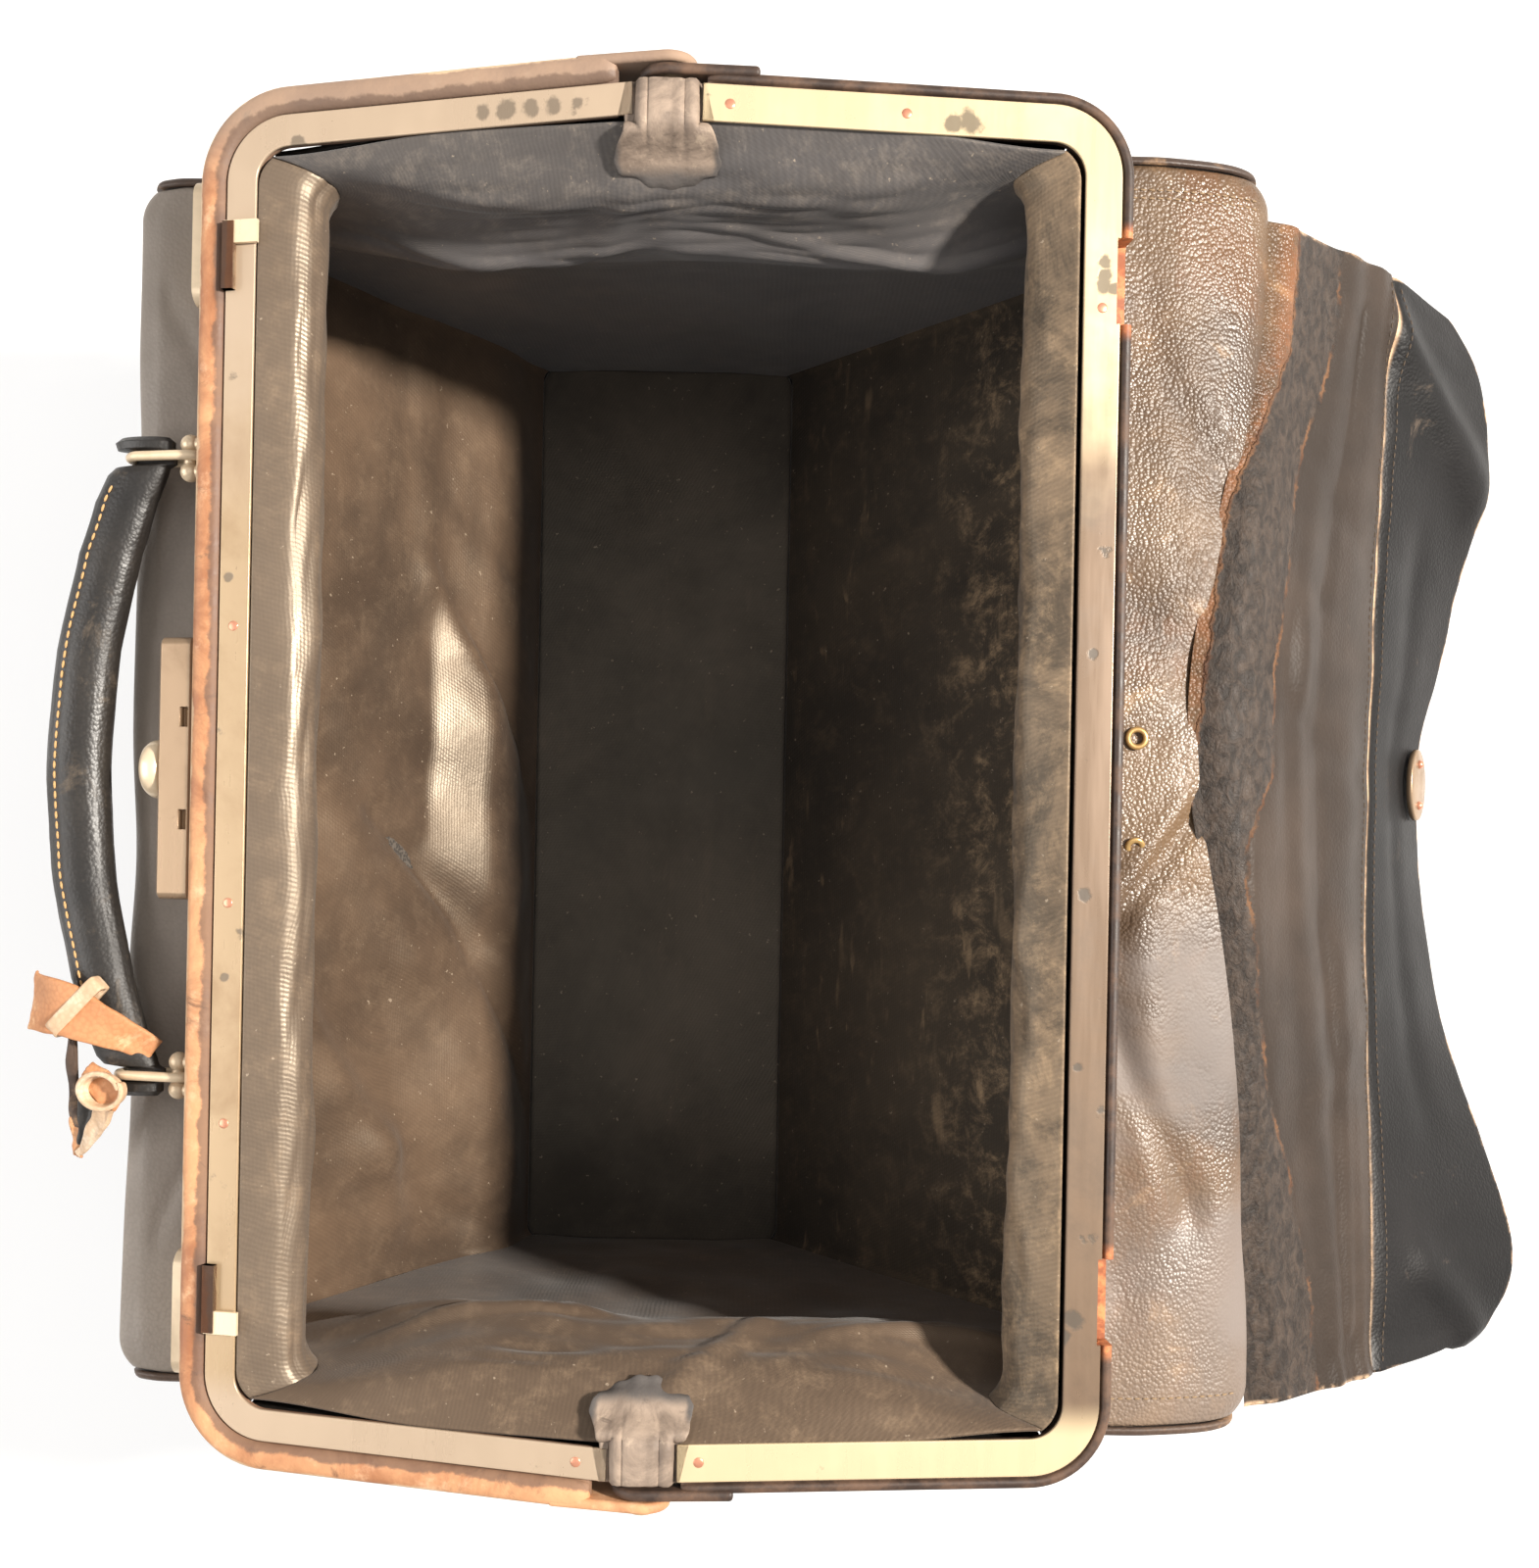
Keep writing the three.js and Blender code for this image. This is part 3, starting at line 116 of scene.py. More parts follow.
def cubic(before, here, there, after, w):
    """The smooth curve w of the way from here to there, led by the values before and after them."""
    start, end = (there - before) / 2, (after - here) / 2
    return (
        (2 * here - 2 * there + start + end) * w**3
        + (-3 * here + 3 * there - 2 * start - end) * w**2
        + start * w
        + here
    )


def column(values, t):
    """A smooth curve through a table's column: t runs from 0 at the first row to 1 at the last."""
    values = np.asarray(values, float)
    last = len(values) - 1
    place = np.clip(np.asarray(t, float), 0, 1) * last
    i = np.minimum(np.floor(place).astype(int), last - 1)
    before, after = values[np.maximum(i - 1, 0)], values[np.minimum(i + 2, last)]
    return cubic(before, values[i], values[i + 1], after, place - i)


def named(columns, rows):
    """A table's columns, by name."""
    return {name: [row[i] for row in rows] for i, name in enumerate(columns)}


def unit(vectors):
    return vectors / np.linalg.norm(vectors, axis=-1, keepdims=True)


# %% Soft shapes: steps, dents, folds and waves
def smoothstep(x):
    x = np.clip(x, 0, 1)
    return x * x * (3 - 2 * x)


def bump(x, y, x0, y0, wide, tall):
    return np.exp(-(((x - x0) / wide) ** 2) - ((y - y0) / tall) ** 2)


def fold_line(x, y, x0, y0, x1, y1, wide):
    """A ridge of height 1 along the line from one point to another, fading to its sides and ends."""
    dx, dy = x1 - x0, y1 - y0
    length = math.hypot(dx, dy)
    along = ((x - x0) * dx + (y - y0) * dy) / length
    aside = ((y - y0) * dx - (x - x0) * dy) / length
    beyond = np.maximum(np.maximum(-along, along - length), 0)
    return np.exp(-((aside / wide) ** 2) - (beyond / (1.5 * wide)) ** 2)


def ripples(x, y, size, seed, waves=9):
    """Soft uneven waves between -1 and 1, about one size across."""
    rng = np.random.RandomState(seed)
    total = np.zeros(np.broadcast(x, y).shape)
    for _ in range(waves):
        angle, phase = rng.uniform(0, 2 * np.pi, 2)
        k = 2 * np.pi / (size * rng.uniform(0.7, 1.6))
        total += np.sin(k * (x * np.cos(angle) + y * np.sin(angle)) + phase)
    return total / math.sqrt(waves) / 1.6


print("a curve through 0, 1, 4 passes", column([0, 1, 4], 0.5), "at its middle")


# %% A named mesh object
def piece(name, points, faces, material, uvs=None):
    """A named mesh object at the origin: points in mm, uvs one pair for each point."""
    mesh = bpy.data.meshes.new(name)
    mesh.from_pydata([tuple(p) for p in np.asarray(points) * MM], [], [list(f) for f in faces])
    if uvs is not None:
        layer = mesh.uv_layers.new(name="UVMap")
        corner = np.empty(len(mesh.loops), int)
        mesh.loops.foreach_get("vertex_index", corner)
        layer.data.foreach_set("uv", np.asarray(uvs, np.float32)[corner].ravel())
    shape = bmesh.new()
    shape.from_mesh(mesh)
    bmesh.ops.recalc_face_normals(shape, faces=shape.faces)
    shape.to_mesh(mesh)
    shape.free()
    mesh.polygons.foreach_set("use_smooth", [True] * len(mesh.polygons))
    mesh.materials.append(material)
    obj = bpy.data.objects.new(name, mesh)
    scene.collection.objects.link(obj)
    return obj


# %% Sheets on a grid of points
def edge_steps(count, edge=0.006):
    """Steps from 0 to 1 with a few close together at both ends, where a sheet's edge is rounded."""
    close = edge * np.array([0, 0.12, 0.4, 1.0])
    return np.concatenate([close, np.linspace(edge, 1 - edge, count + 1)[1:-1], 1 - close[::-1]])


def grid_normals(grid):
    return unit(np.cross(np.gradient(grid, axis=0), np.gradient(grid, axis=1)))


def arc(grid, axis):
    """Distance along a grid's lines from their first point, in mm."""
    step = np.linalg.norm(np.diff(grid, axis=axis), axis=2)
    pad = [(0, 0), (0, 0)]
    pad[axis] = (1, 0)
    return np.pad(np.cumsum(step, axis=axis), pad)


def grid_faces(rows, columns, first=0):
    i, j = np.meshgrid(np.arange(rows - 1), np.arange(columns - 1), indexing="ij")
    a = first + (i * columns + j).ravel()
    return np.stack([a, a + columns, a + columns + 1, a + 1], axis=1).tolist()


def sheet(name, grid, near, far, material, rounding=0.8):
    """A closed sheet on a grid of points: its two faces lie near and far mm along the grid's normals."""
    rows, columns = grid.shape[:2]
    near, far = (np.broadcast_to(d, (rows, columns))[..., None] for d in (near, far))
    normal = grid_normals(grid)
    along, up = arc(grid, 0), arc(grid, 1)
    from_edge = np.minimum.reduce([along, along[-1:] - along, up, up[:, -1:] - up])
    fullness = np.sqrt(1 - (1 - np.clip(from_edge / rounding, 0, 1)) ** 2 * 0.9)[..., None]
    middle, half = (near + far) / 2, (far - near) / 2
    faces_a = grid + normal * (middle - half * fullness)
    faces_b = grid + normal * (middle + half * fullness)
    count = rows * columns
    border = (
        [(i, 0) for i in range(rows)]
        + [(rows - 1, j) for j in range(1, columns)]
        + [(i, columns - 1) for i in range(rows - 2, -1, -1)]
        + [(0, j) for j in range(columns - 2, 0, -1)]
    )
    ring = [i * columns + j for i, j in border]
    walls = [[a, b, b + count, a + count] for a, b in zip(ring, ring[1:] + ring[:1])]
    back = [f[::-1] for f in grid_faces(rows, columns, count)]
    uv = np.stack([along.ravel(), up.ravel()], axis=1) / 500
    points = np.concatenate([faces_a.reshape(-1, 3), faces_b.reshape(-1, 3)])
    return piece(name, points, grid_faces(rows, columns) + back + walls, material, np.concatenate([uv, uv]))


# %% [markdown]
# ## How the solid pieces are made
#
# The frame, the rings and the seams are bars of one section, and the rivets and the button are round. A
# curve object with a bevel could be such a bar, and a Screw modifier could turn a round piece. Both are
# made from rings of points here, because a section can then change along its bar.


# %% Bars and turned pieces
def ring_faces(rings, sides, closed=False):
    """Faces between rings of points that follow each other, closed to a loop or with a face at each end."""
    ring = np.arange(sides)
    faces = []
    for i in range(rings if closed else rings - 1):
        a, b = i * sides + ring, (i + 1) % rings * sides + ring
        faces += np.stack([a, np.roll(a, -1), np.roll(b, -1), b], axis=1).tolist()
    if not closed:
        faces += [ring[::-1].tolist(), ((rings - 1) * sides + ring).tolist()]
    return faces


def sweep(name, places, across, up, sections, material, closed=False):
    """A bar: at each place a section is drawn in the two directions across and up."""
    across, up = (np.broadcast_to(np.asarray(d, float), places.shape) for d in (across, up))
    sections = np.broadcast_to(sections, (len(places),) + np.shape(sections)[-2:])
    points = (
        places[:, None]
        + sections[..., :1] * across[:, None]
        + sections[..., 1:] * up[:, None]
    )
    stations, sides = points.shape[:2]
    run = np.concatenate([[0], np.cumsum(np.linalg.norm(np.diff(points.mean(1), axis=0), axis=1))])
    girth = np.linspace(0, 1, sides, endpoint=False) * np.linalg.norm(
        np.diff(sections[0], axis=0, append=sections[0][:1]), axis=1
    ).sum()
    uv = np.stack(np.meshgrid(run, girth, indexing="ij"), axis=2).reshape(-1, 2) / 500
    return piece(name, points.reshape(-1, 3), ring_faces(stations, sides, closed), material, uv)


def paint(obj, **values):
    """Stores numbers on an object's points, for its finish to read. Both faces of a sheet get the same."""
    for name, numbers in values.items():
        numbers = np.ravel(numbers).astype(np.float32)
        layer = obj.data.attributes.new(name, "FLOAT", "POINT")
        layer.data.foreach_set("value", np.tile(numbers, len(obj.data.vertices) // len(numbers)))


def lathe(name, profile, material, segments=32):
    """A turned piece on the Z axis: (radius, height) pairs in mm."""
    radius, height = np.array(profile, float).T
    turn = np.linspace(0, 2 * np.pi, segments, endpoint=False)
    points = np.stack([
        np.outer(radius, np.cos(turn)), np.outer(radius, np.sin(turn)), np.outer(height, np.ones(segments)),
    ], axis=2)
    return piece(name, points.reshape(-1, 3), ring_faces(len(radius), segments), material)


# %% Moving, joining, cutting and dressing
def moved(obj, matrix):
    obj.data.transform(matrix)
    return obj


def at(x, y, z):
    return Matrix.Translation((x * MM, y * MM, z * MM))


def plain(obj):
    """The object's mesh with its modifiers worked in."""
    done = bpy.data.meshes.new_from_object(obj.evaluated_get(bpy.context.evaluated_depsgraph_get()))
    obj.modifiers.clear()
    old, obj.data = obj.data, done
    bpy.data.meshes.remove(old)
    return obj


def joined(name, objects):
    """Several pieces as one object."""
    bpy.ops.object.select_all(action="DESELECT")
    for obj in objects:
        obj.select_set(True)
    bpy.context.view_layer.objects.active = objects[0]
    if len(objects) > 1:
        bpy.ops.object.join()
    objects[0].name = objects[0].data.name = name
    return objects[0]


def cut(obj, boxes):
    """Takes boxes (low corner, high corner, turn) out of an object."""
    shape = bmesh.new()
    for low, high, turn in boxes:
        low, high = np.array(low) * MM, np.array(high) * MM
        place = Matrix.Translation((low + high) / 2) @ Matrix.Diagonal((*(high - low), 1))
        bmesh.ops.create_cube(shape, size=1, matrix=turn @ place)
    mesh = bpy.data.meshes.new("cutter")
    shape.to_mesh(mesh)
    shape.free()
    cutter = bpy.data.objects.new("cutter", mesh)
    scene.collection.objects.link(cutter)
    modifier = obj.modifiers.new("slots", "BOOLEAN")
    modifier.operation, modifier.solver, modifier.object = "DIFFERENCE", "EXACT", cutter
    plain(obj)
    bpy.data.objects.remove(cutter)
    return obj


def crisp(obj):
    """Flat faces keep a flat shading, and only the rounded edges between them are shaded round."""
    obj.data.set_sharp_from_angle(angle=math.radians(40))
    modifier = obj.modifiers.new("normals", "WEIGHTED_NORMAL")
    modifier.keep_sharp = True
    return plain(obj)


def dress(obj, body, slot, *nodes):
    """Puts a finished piece on its body, in the place of the solids it stands for."""
    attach(obj, body)
    if nodes:
        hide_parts(*nodes)
    print(obj.name, [round(d / MM, 1) for d in obj.dimensions], "mm, on", body)
    return obj


# %% [markdown]
# ## Finishes
#
# Each finish is a small network of nodes on the Principled shader. They read object coordinates, in
# metres, so a grain keeps its real size on every piece, and the lining's twill reads the sheet's own UV
# map so that it follows the cloth round the folds. Pictures would be the other way, but a network has no
# seams and can be set to the wear that shows on the real bag.


# %% A short way to write finishes
class Finish:
    """A material with helpers that add nodes and link them."""

    def __init__(self, name, **shader):
        self.material = bpy.data.materials.new(name)
        self.material.use_nodes = True
        self.tree = self.material.node_tree
        self.shader = self.tree.nodes["Principled BSDF"]
        self.place = self.node("ShaderNodeTexCoord").outputs["Object"]
        self.map = self.node("ShaderNodeTexCoord").outputs["UV"]
        self.height = None
        for socket, value in shader.items():
            self.shader.inputs[socket.replace("_", " ")].default_value = value

    def node(self, kind, **settings):
        node = self.tree.nodes.new(kind)
        for key, value in settings.items():
            setattr(node, key, value)
        return node

    def put(self, socket, value):
        if isinstance(value, bpy.types.NodeSocket):
            self.tree.links.new(value, socket)
        else:
            socket.default_value = value

    def stretched(self, vector, scale, turn=0.0):
        node = self.node("ShaderNodeMapping")
        self.put(node.inputs["Vector"], vector)
        node.inputs["Scale"].default_value = scale
        node.inputs["Rotation"].default_value = (0, 0, turn)
        return node.outputs["Vector"]

    def noise(self, per_metre, detail=4, rough=0.55, vector=None, distort=0.0):
        node = self.node("ShaderNodeTexNoise")
        self.put(node.inputs["Vector"], vector or self.place)
        node.inputs["Scale"].default_value = per_metre
        node.inputs["Detail"].default_value = detail
        node.inputs["Roughness"].default_value = rough
        node.inputs["Distortion"].default_value = distort
        return node.outputs["Fac"]

    def cells(self, per_metre):
        node = self.node("ShaderNodeTexVoronoi", feature="F1")
        self.put(node.inputs["Vector"], self.place)
        node.inputs["Scale"].default_value = per_metre
        return node.outputs["Distance"]

    def bands(self, per_metre, vector, direction="DIAGONAL", distort=0.0):
        node = self.node("ShaderNodeTexWave", bands_direction=direction)
        self.put(node.inputs["Vector"], vector)
        node.inputs["Scale"].default_value = per_metre
        node.inputs["Distortion"].default_value = distort
        return node.outputs["Fac"]

    def ramp(self, value, low, high, start=0.0, end=1.0):
        node = self.node("ShaderNodeMapRange", interpolation_type="SMOOTHSTEP")
        for socket, v in zip(node.inputs[:5], (value, low, high, start, end)):
            self.put(socket, v)
        return node.outputs["Result"]

    def math(self, operation, a, b=0.0):
        node = self.node("ShaderNodeMath", operation=operation)
        self.put(node.inputs[0], a)
        self.put(node.inputs[1], b)
        return node.outputs[0]

    def times(self, a, b):
        return self.math("MULTIPLY", a, b)

    def plus(self, a, b):
        return self.math("ADD", a, b)

    def mix(self, share, a, b):
        node = self.node("ShaderNodeMix", data_type="RGBA", blend_type="MIX")
        self.put(node.inputs["Factor"], share)
        self.put(node.inputs["A"], a)
        self.put(node.inputs["B"], b)
        return node.outputs["Result"]

    def tint(self, colour, mask, share, other):
        return self.mix(self.times(mask, share), colour, other)

    def part(self, vector, axis):
        node = self.node("ShaderNodeSeparateXYZ")
        self.put(node.inputs[0], vector)
        return node.outputs[axis]

    def attribute(self, name):
        return self.node("ShaderNodeAttribute", attribute_name=name).outputs["Fac"]

    def relief(self, height, mm, strength=1.0):
        node = self.node("ShaderNodeBump")
        node.inputs["Strength"].default_value = strength
        node.inputs["Distance"].default_value = mm * MM
        self.put(node.inputs["Height"], height)
        if self.height is not None:
            self.put(node.inputs["Normal"], self.height)
        self.height = node.outputs["Normal"]

    def done(self, colour=None, roughness=None, metallic=None):
        for socket, value in (("Base Color", colour), ("Roughness", roughness), ("Metallic", metallic)):
            if value is not None:
                self.put(self.shader.inputs[socket], value)
        if self.height is not None:
            self.put(self.shader.inputs["Normal"], self.height)
        return self.material


def rgb(r, g, b):
    """A colour given as it looks on the screen, 0 to 255, as the shader's linear colour."""
    return tuple(((c / 255 + 0.055) / 1.055) ** 2.4 if c > 10 else c / 255 / 12.92 for c in (r, g, b)) + (1,)


# %% [markdown]
# ### Plain leathers
#
# The bag's smooth leathers are dark on the walls, black at the ends and tan on the torn strap. The top of the
# handle side is grey, painted lighter still to stand in for light that the frame's shadow takes from it. They
# differ in colour, grain and gloss only, so one function makes them all. A Voronoi texture gives the small
# cells of the grain, and a finely broken noise the places where hands have rubbed.


# %% Plain leathers
def hide(name, dark, light, scuff, grain, relief, gloss, scuffing=0.62, wall=None):
    """Leather: a patchy colour, small cells of grain, and dull pale scuffs where it has been rubbed.

    wall is the colour below the bag's shoulder; the lighter colours above it are partly painted light."""
    f = Finish(name, Specular_IOR_Level=0.45)
    patch = f.noise(9, 6, 0.6)
    colour = f.mix(f.ramp(patch, 0.35, 0.68), dark, light)
    rubbed = f.ramp(f.noise(46, 8, 0.72, distort=0.6), scuffing, scuffing + 0.16)
    colour = f.tint(colour, rubbed, 0.55, scuff)
    # Painted light: below the shoulder the darker wall colour, above it the lighter colours, painted lighter
    # on top.
    if wall:
        low = f.plus(f.part(f.place, "Z"), f.times(patch, 0.02))
        colour = f.mix(f.ramp(low, 0.15, 0.184, 0.88, 0), colour, wall)
    pores = f.cells(grain)
    colour = f.mix(f.ramp(pores, 0.35, 0.75, 0, 0.35), colour, dark)
    f.relief(f.noise(38, 5), 1.1, 0.35)
    f.relief(f.times(pores, -1.0), relief, 0.55)
    rough = f.ramp(f.noise(21, 5), 0.3, 0.7, gloss - 0.08, gloss + 0.14)
    return f.done(colour, f.plus(rough, f.times(rubbed, 0.15)))


# Painted light: the handle side's top is coloured lighter than its grey leather, where the frame's shadow
# falls.
front_hide = hide(
    "front_hide", rgb(124, 114, 104), rgb(147, 136, 125), rgb(168, 156, 143), 900, 0.16, 0.5,
    wall=rgb(42, 38, 35)
)
black_hide = hide("black_hide", rgb(38, 36, 34), rgb(58, 53, 48), rgb(110, 92, 74), 800, 0.16, 0.46)
handle_hide = hide("handle_hide", rgb(24, 22, 21), rgb(50, 45, 40), rgb(112, 97, 80), 900, 0.16, 0.46, 0.55)
tan_hide = hide("tan_hide", rgb(160, 104, 66), rgb(208, 150, 104), rgb(232, 196, 156), 700, 0.2, 0.62, 0.5)
pale_hide = hide(
    "pale_hide", rgb(176, 142, 110), rgb(216, 188, 156), rgb(240, 224, 200), 700, 0.2, 0.62, 0.46
)
edge_hide = hide("edge_hide", rgb(60, 46, 38), rgb(92, 72, 58), rgb(190, 150, 110), 800, 0.15, 0.5, 0.5)

print("plain leathers:", [m.name for m in bpy.data.materials])

# %% [markdown]
# ### Pebbled leather, and the torn flap
#
# The flap side is embossed with small pebbles, with rust and wear between them. The flap is the same leather
# down to a ragged tear, then a crumpled strip without its skin, then smooth leather. One could paint that
# by hand. Here the flap's mesh stores how far each point lies past each tear, and the finish reads these
# numbers, so that the tears in the shape and in the colour fall on the same line.


# %% Pebbled leather
def pebbles(f):
    """Golden-brown pebbled leather, with smooth grey places and a painted sheen towards the right-hand end.
    """
    colour = f.mix(f.ramp(f.noise(14, 6, 0.6), 0.35, 0.68), rgb(68, 52, 39), rgb(106, 84, 62))
    rubbed = f.ramp(f.noise(46, 8, 0.72, distort=0.6), 0.56, 0.72)
    colour = f.tint(colour, rubbed, 0.5, rgb(166, 134, 100))
    rust = f.ramp(f.noise(26, 8, 0.72, f.stretched(f.place, (1, 0.45, 1)), 0.8), 0.52, 0.64, 0, 0.65)
    colour = f.mix(rust, colour, rgb(98, 68, 44))
    worn_grey = f.ramp(f.noise(10, 5, 0.6, distort=0.5), 0.5, 0.62, 0, 0.6)
    colour = f.mix(worn_grey, colour, rgb(72, 65, 61))
    # Painted sheen: the roof is coloured paler towards its right-hand end, where its pebbles glint.
    dust_and_sheen = f.ramp(f.part(f.place, "Y"), -0.16, -0.08, 0.2, 0)
    colour = f.mix(dust_and_sheen, colour, rgb(182, 164, 150))
    right = f.ramp(f.part(f.place, "Y"), -0.06, -0.02, 1, 0)
    smooth = f.times(right, f.ramp(f.noise(17, 4, 0.5, distort=0.6), 0.4, 0.62))
    colour = f.tint(colour, smooth, 0.7, rgb(116, 107, 102))
    flattened = f.times(f.ramp(f.noise(30, 5, 0.6), 0.35, 0.65, 0.75, 1.35), f.ramp(smooth, 0, 1, -1, -0.2))
    grain = f.times(f.cells(900), flattened)
    gloss = f.plus(f.ramp(f.noise(21, 5), 0.3, 0.7, 0.32, 0.46), f.times(smooth, 0.22))
    return colour, grain, gloss


def pebbled_roof():
    f = Finish("pebbled_roof", Specular_IOR_Level=0.45)
    colour, grain, gloss = pebbles(f)
    f.relief(f.noise(38, 5), 1.1, 0.35)
    f.relief(grain, 0.42, 0.6)
    return f.done(colour, gloss)


roof_finish = pebbled_roof()
print("pebbled:", roof_finish.name)


# %% The torn flap's leather
def torn_flap():
    """The flap: pebbled down to a torn line, a dark strip where the skin is gone, smooth beyond it."""
    f = Finish("torn_flap", Specular_IOR_Level=0.2)
    patch = f.ramp(f.noise(11, 6, 0.6), 0.35, 0.68)
    ragged = f.times(f.math("SUBTRACT", f.noise(260, 6, 0.7), 0.5), 5.0)
    torn = f.plus(f.attribute("torn"), ragged)
    second = f.plus(f.attribute("ragged"), ragged)
    pebbled = f.ramp(torn, -0.4, 0.2, 1, 0)
    smooth = f.ramp(second, -0.5, 1.0)
    pebble_colour, pebble_grain, pebble_gloss = pebbles(f)
    worn = f.times(f.ramp(torn, -9, -1), f.ramp(f.noise(45, 6, 0.7), 0.36, 0.6))
    pebble_colour = f.tint(pebble_colour, worn, 0.7, rgb(126, 80, 50))
    inner_colour = f.mix(patch, rgb(44, 36, 30), rgb(64, 53, 45))
    outer_colour = f.mix(patch, rgb(16, 15, 15), rgb(27, 25, 25))
    smooth_colour = f.mix(f.attribute("outer"), inner_colour, outer_colour)
    crumple = f.noise(300, 6, 0.7, f.stretched(f.place, (1, 0.6, 1)), 0.8)
    strip_colour = f.mix(f.ramp(crumple, 0.35, 0.7), rgb(38, 32, 28), rgb(68, 57, 49))
    colour = f.mix(smooth, strip_colour, smooth_colour)
    colour = f.mix(pebbled, colour, pebble_colour)
    scuffs = f.ramp(f.noise(52, 8, 0.75, distort=0.8), 0.62, 0.76)
    colour = f.tint(colour, scuffs, 0.3, rgb(132, 114, 98))
    first_edge = f.ramp(f.math("ABSOLUTE", torn), 0.3, 1.3, 0.7, 0)
    second_edge = f.ramp(f.math("ABSOLUTE", second), 0.2, 0.9, 0.7, 0)
    bare = f.math("MAXIMUM", first_edge, f.times(second_edge, f.ramp(f.noise(70), 0.42, 0.58)))
    rub = f.noise(90, 6, 0.7)
    colour = f.mix(bare, colour, f.mix(f.ramp(rub, 0.35, 0.65), rgb(84, 54, 37), rgb(128, 92, 64)))
    crease = f.times(f.ramp(f.attribute("crease"), 0.3, 1.3, 1, 0), f.ramp(rub, 0.35, 0.6, 0.3, 0.95))
    rim = f.times(f.ramp(f.attribute("rim"), 0.5, 2.0, 1, 0), f.ramp(rub, 0.45, 0.65))
    colour = f.mix(f.math("MAXIMUM", crease, rim), colour, f.mix(rub, rgb(150, 106, 72), rgb(224, 196, 164)))
    f.relief(f.noise(40, 5), 1.0, 0.3)
    f.relief(f.times(pebble_grain, pebbled), 0.42, 0.6)
    in_strip = f.math("SUBTRACT", f.math("SUBTRACT", 1.0, smooth), pebbled)
    f.relief(f.times(crumple, in_strip), 1.0, 0.7)
    f.relief(f.times(f.cells(900), -1.0), 0.2, 0.5)
    rough = f.mix(pebbled, f.ramp(f.noise(18, 5), 0.3, 0.7, 0.42, 0.54), pebble_gloss)
    return f.done(colour, f.plus(rough, f.times(bare, 0.3)))


flap_finish = torn_flap()
print("the flap's nodes:", len(flap_finish.node_tree.nodes))

# %% [markdown]
# ### The back rim and the hinge tabs
#
# The back half's rim is covered in thin leather that has rusted from below at its two notches. The hinge
# tabs are soft leather, stained and rubbed. Noises of several sizes stand for stains and rubbing, and a
# number stored on each tab says where it fades into the cloth.


# %% The back rim and the hinge tabs
def worn_tab():
    """The leather over a hinge: grey-brown, stained and rubbed, and fading into the lining below it."""
    f = Finish("worn_tab", Specular_IOR_Level=0.3)
    patch = f.noise(62, 7, 0.7, distort=0.6)
    colour = f.mix(f.ramp(patch, 0.36, 0.66), rgb(112, 98, 87), rgb(156, 138, 122))
    rubbed = f.ramp(f.noise(150, 6, 0.7), 0.56, 0.72)
    colour = f.tint(colour, rubbed, 0.5, rgb(196, 176, 154))
    stain = f.ramp(f.noise(95, 6, 0.7, distort=1.0), 0.58, 0.7)
    colour = f.tint(colour, stain, 0.6, rgb(78, 67, 60))
    fade = f.ramp(f.plus(f.attribute("fade"), f.math("SUBTRACT", patch, 0.5)), 0.35, 0.95)
    colour = f.mix(fade, colour, rgb(84, 79, 76))
    f.relief(patch, 1.0, 0.5)
    f.relief(f.cells(900), -0.15, 0.4)
    return f.done(colour, f.ramp(patch, 0.3, 0.7, 0.55, 0.75))


def covered_rim():
    """The back half's thin leather edge, with rust in the two notches for the catches."""
    f = Finish("covered_rim", Specular_IOR_Level=0.4)
    patch = f.noise(60, 7, 0.7)
    colour = f.mix(f.ramp(patch, 0.4, 0.7), rgb(50, 38, 32), rgb(96, 72, 56))
    along = f.math("ABSOLUTE", f.math("SUBTRACT", f.math("ABSOLUTE", f.part(f.place, "Y")), 0.148))
    notch = f.times(f.ramp(along, 0.013, 0.018, 1, 0), f.ramp(f.part(f.place, "X"), 0.124, 0.128))
    rust = f.mix(f.ramp(f.noise(150, 6, 0.7), 0.4, 0.65), rgb(140, 78, 46), rgb(210, 134, 84))
    colour = f.mix(notch, colour, rust)
    f.relief(patch, 0.4, 0.5)
    return f.done(colour, f.ramp(patch, 0.3, 0.7, 0.42, 0.7))


back_rim_finish = covered_rim()
tab_finish = worn_tab()
print("leathers:", len(bpy.data.materials))

# %% [markdown]
# ### Lining cloth
#
# The lining is brown twill, dusty where it is rubbed and smoother on the roll along its top. A picture of
# cloth could be tiled over it. Two wave textures on the sheet's own UV map, one for each direction of its
# threads, need no picture, and the level that each sheet stores says where the dust lies.


